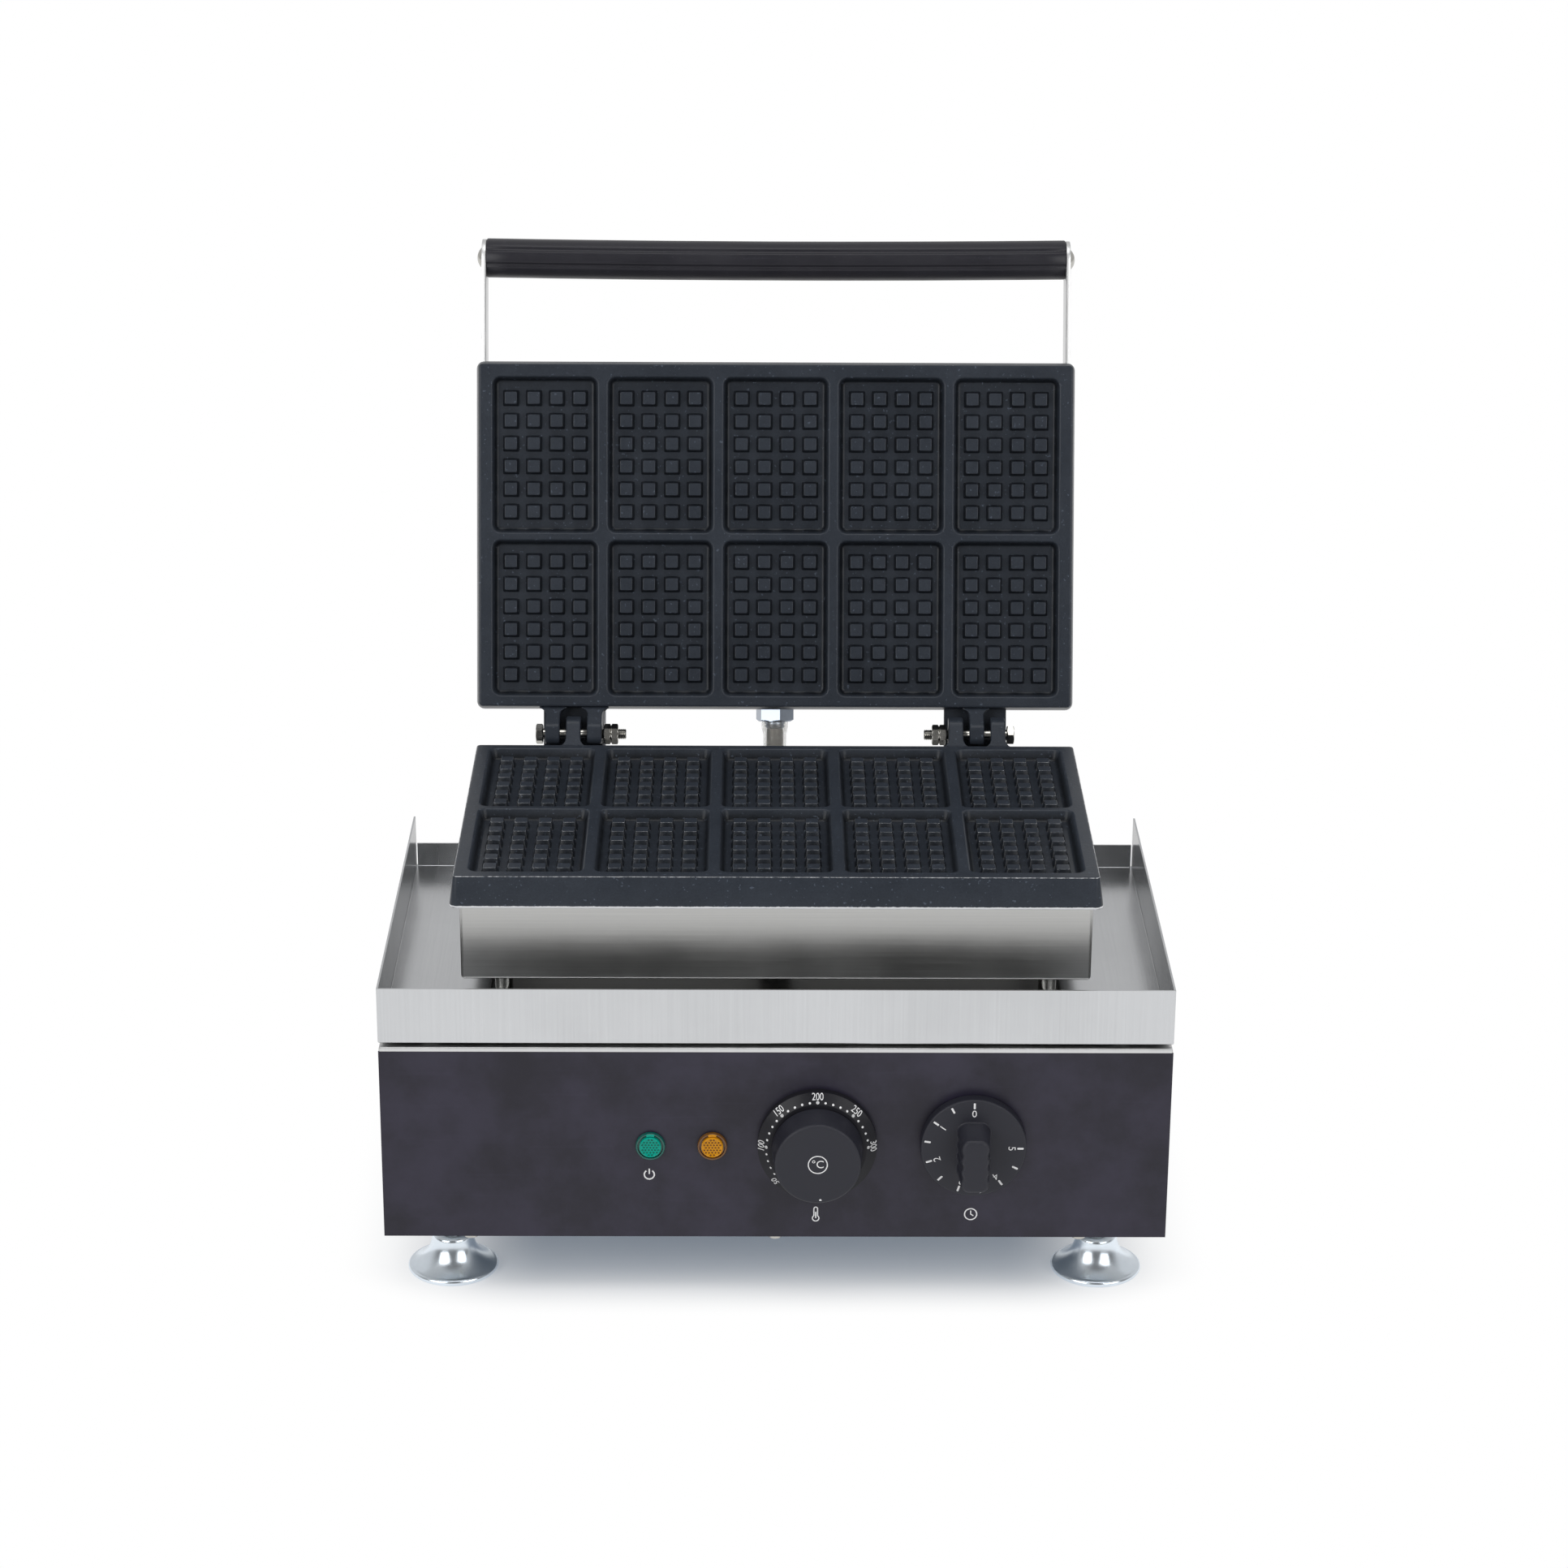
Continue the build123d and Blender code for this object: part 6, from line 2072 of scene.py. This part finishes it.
@dataclass
class LidScrews:
    """The four screws that hold the upper casing on its plate, each turned a little differently."""

    flats: float = 10.0
    lid_top: float = 286.8
    head_height: float = 4.0
    radius: float = 3.0
    length: float = 48.6

    def screw(self) -> Shaper:
        """One hexagon screw with its head above the origin.

        Returns:
            The screw's shaper.
        """
        shaper = Shaper()
        shaper.hexagon(self.flats, self.head_height, Matrix())
        profile = [(0.0, 0.05), (self.radius, 0.05), (self.radius, 0.6 - self.length)]
        profile += [(self.radius - 0.5, -self.length), (0.0, -self.length)]
        shaper.lathe(profile, Matrix(), 28)
        return shaper

    def build(self) -> None:
        """Make the lid's screws."""
        places = []
        for x in (-LAYOUT.stud_x, LAYOUT.stud_x):
            for y in (-LAYOUT.stud_y, LAYOUT.stud_y):
                spot = Matrix.Translation((x, LAYOUT.plates_y + y, self.lid_top))
                places.append(LAYOUT.open_lid() @ spot @ Matrix.Rotation(0.01 * x + 0.02 * y, 4, "Z"))
        REPEATS.fit_copies("lid_screws_turned", ZINC, Body.LID, "lid_screws", (self.screw(), places))


class PackedNodes:
    """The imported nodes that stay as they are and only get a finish."""

    finishes: dict[Finish, tuple[str, ...]] = {
        STAINLESS: ("base_shell", "bottom_plate", "tray_runners"),
        LID_STEEL: ("upper_casing",),
        CASING_STEEL: ("lower_casing",),
        TRAY_STEEL: ("drip_tray",),
        PANEL_FILM: ("front_panel",),
        BEZEL_PLASTIC: ("thermostat_bezel",),
        ZINC: (
            "bottom_screws", "foot_nuts", "foot_locknuts", "control_nuts", "support_posts", "post_nuts",
            "wire_sleeve", "lower_clamp_screws", "upper_clamp_screws", "arm_nuts", "conduit_locknut",
            "thermostat_spindle", "timer_spindle", "lower_clamp_bars", "upper_clamp_bars",
        ),
        BLACK_PLASTIC: (
            "lamp_nuts", "lamp_sockets", "thermostat_body", "timer_body", "terminal_block", "cable_gland",
            "gland_nut",
        ),
        COPPER: ("thermostat_capillary",),
        LOOM_SLEEVE: ("control_loom",),
        HEATER_STEEL: ("lower_heating_element", "upper_heating_element"),
        MINERAL_WOOL: ("lower_insulation", "upper_insulation"),
        RUBBER: ("conduit_grommet",),
    }

    def dress(self, nodes: dict[str, bpy.types.Object]) -> None:
        """Set the finish of each node that stays.

        Args:
            nodes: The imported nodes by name.
        """
        for finish, names in self.finishes.items():
            for name in names:
                node = nodes[name]
                node.data.materials.clear()
                node.data.materials.append(finish.material())
            LOG.info("%s: %d packed nodes", finish.name, len(names))


# Studio


@dataclass(frozen=True)
class Softbox:
    """One large soft light that looks at the machine."""

    name: str
    place: Triple
    width: float
    height: float
    power: float
    target: Triple = (0.0, 0.0, 0.2)

    def build(self) -> None:
        """Put the light into the studio."""
        lamp = bpy.data.lights.new(self.name, "AREA")
        lamp.shape = "RECTANGLE"
        lamp.size = self.width
        lamp.size_y = self.height
        lamp.energy = self.power
        light = put_in_scene(self.name, lamp)
        light.location = self.place
        facing = Vector(self.target) - Vector(self.place)
        light.rotation_euler = facing.to_track_quat("-Z", "Y").to_euler()


@dataclass
class Studio:
    """White background, pale floor, soft lights and the camera."""

    floor_size: float = 6.0
    floor_height: float = -0.0002
    floor_glow: Triple = (0.09, 0.115, 0.15)
    shade_middle: Triple = (0.0, -0.0234, 0.0)
    shade_half: Triple = (0.12, 0.11, 10.0)
    shade_slope: Triple = (0.5, 1.0, 1.0)
    fade_end: float = 0.058
    front_light: float = 0.14
    rear_light: float = 0.65
    lens: float = 90.645
    sensor: float = 36.0
    eye: Triple = (-0.01172, -2.00994, 1.00451)
    right: Triple = (0.9999673, -0.00604747, 0.00536868)
    up: Triple = (-0.0028143, 0.36214154, 0.93211887)
    back: Triple = (-0.00758118, -0.9321035, 0.36211268)
    lights: tuple[Softbox, ...] = (
        Softbox("left softbox", (-1.5, -1.9, 1.2), 1.5, 1.6, 26.0),
        Softbox("right softbox", (1.5, -1.9, 1.2), 1.5, 1.6, 20.0),
        Softbox("top softbox", (0.0, -0.3, 2.2), 1.8, 1.2, 14.0),
    )

    def straight_ray(self, wiring: Wiring) -> Socket:
        """Whether a ray is a camera or transmission ray, which both see plain white."""
        path = wiring.add("ShaderNodeLightPath")
        return wiring.math("MAXIMUM", path.outputs["Is Camera Ray"], path.outputs["Is Transmission Ray"])

    def build_world(self) -> None:
        """Make the white background, bright behind the machine and dim on the camera's side."""
        world = bpy.data.worlds.new("studio world")
        world.use_nodes = True
        world.node_tree.nodes.clear()
        wiring = Wiring(world.node_tree)
        direction = wiring.add("ShaderNodeTexCoord").outputs["Generated"]
        backwards = wiring.add("ShaderNodeSeparateXYZ", {0: direction}).outputs["Y"]
        inputs = {0: backwards, 1: -0.5, 2: 0.35, 3: self.front_light, 4: self.rear_light}
        shade = wiring.add("ShaderNodeMapRange", inputs, interpolation_type="SMOOTHSTEP").outputs[0]
        strength = wiring.math("MAXIMUM", shade, self.straight_ray(wiring))
        white = wiring.add("ShaderNodeBackground", {"Color": (1.0, 1.0, 1.0, 1.0), "Strength": strength})
        wiring.add("ShaderNodeOutputWorld", {0: white.outputs[0]})
        bpy.context.scene.world = world

    def floor_material(self) -> bpy.types.Material:
        """A pale floor that keeps the shadow under the machine, plain white round it and clear from below.

        Returns:
            The material.
        """
        material = bpy.data.materials.new("studio floor")
        material.use_nodes = True
        material.node_tree.nodes.clear()
        wiring = Wiring(material.node_tree)
        place = wiring.add("ShaderNodeTexCoord").outputs["Object"]
        aside = wiring.add("ShaderNodeVectorMath", {0: wiring.vector("SUBTRACT", place, self.shade_middle)},
                           operation="ABSOLUTE").outputs[0]
        outside = wiring.vector("MAXIMUM", wiring.vector("SUBTRACT", aside, self.shade_half), (0.0, 0.0, 0.0))
        sloped = wiring.vector("MULTIPLY", outside, self.shade_slope)
        reach = wiring.add("ShaderNodeVectorMath", {0: sloped}, operation="LENGTH").outputs["Value"]
        fade = wiring.add("ShaderNodeMapRange", {0: reach, 2: self.fade_end}, interpolation_type="SMOOTHSTEP")
        path = wiring.add("ShaderNodeLightPath")
        mirrored = wiring.math("MAXIMUM", path.outputs["Is Glossy Ray"], self.straight_ray(wiring))
        pale = wiring.add("ShaderNodeBsdfDiffuse", {"Color": (0.6, 0.6, 0.6, 1.0)})
        glow = wiring.add("ShaderNodeEmission", {"Color": (*self.floor_glow, 1.0), "Strength": mirrored})
        lit = wiring.add("ShaderNodeAddShader", {0: pale.outputs[0], 1: glow.outputs[0]})
        plain = wiring.add("ShaderNodeEmission", {"Color": (1.0, 1.0, 1.0, 1.0), "Strength": 1.0})
        share = wiring.math("MULTIPLY", fade.outputs[0], mirrored)
        mixed = wiring.add("ShaderNodeMixShader", {0: share, 1: lit.outputs[0], 2: plain.outputs[0]})
        below = wiring.add("ShaderNodeNewGeometry").outputs["Backfacing"]
        clear = wiring.add("ShaderNodeBsdfTransparent").outputs[0]
        seen = wiring.add("ShaderNodeMixShader", {0: below, 1: mixed.outputs[0], 2: clear})
        wiring.add("ShaderNodeOutputMaterial", {0: seen.outputs[0]})
        return material

    def build_floor(self) -> None:
        """Make the floor under the feet."""
        half = self.floor_size / 2
        flat = ((-half, -half), (half, -half), (half, half), (-half, half))
        corners = [(x, y, self.floor_height) for x, y in flat]
        mesh = bpy.data.meshes.new("studio_floor")
        mesh.from_pydata(corners, [], [(0, 1, 2, 3)])
        mesh.materials.append(self.floor_material())
        floor = put_in_scene("studio_floor", mesh)

    def build_camera(self) -> None:
        """Set the camera where the picture was taken from."""
        data = bpy.data.cameras.new("picture camera")
        data.lens = self.lens
        data.sensor_width = self.sensor
        camera = put_in_scene("picture camera", data)
        turn = Matrix((self.right, self.up, self.back)).transposed().to_4x4()
        camera.matrix_world = Matrix.Translation(self.eye) @ turn
        bpy.context.scene.camera = camera

    def build(self) -> None:
        """Make the camera, the floor, the world and the lights."""
        self.build_camera()
        self.build_floor()
        self.build_world()
        for light in self.lights:
            light.build()
        bpy.context.scene.view_settings.view_transform = "Standard"


def main() -> None:
    """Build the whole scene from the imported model."""
    logging.basicConfig(level=logging.INFO, format="%(name)s: %(message)s")
    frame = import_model()
    Studio().build()
    Conduit().build()
    CastPlate("lower_plate", Body.BASE, wear=0.54).build()
    CastPlate("upper_plate", Body.LID, wear=0.36).build()
    Hinges().build()
    Handle().build()
    Lamp("green_lamp", *GREEN_LAMP, x=-65.1).build()
    Lamp("amber_lamp", *AMBER_LAMP, x=-32.9).build()
    ThermostatDial().build()
    TimerDial().build()
    PanelPrint().build()
    FrontHem().build()
    for body, side in ((Body.FRONT_LEFT, -1), (Body.FRONT_RIGHT, 1)):
        Foot(body, side * LAYOUT.foot_x, LAYOUT.foot_front_y).build()
    for body, side in ((Body.REAR_LEFT, -1), (Body.REAR_RIGHT, 1)):
        Foot(body, side * LAYOUT.foot_x, LAYOUT.foot_rear_y).build()
    LidScrews().build()
    PackedNodes().dress(frame["nodes"])
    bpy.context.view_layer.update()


if __name__ == "__main__":
    main()
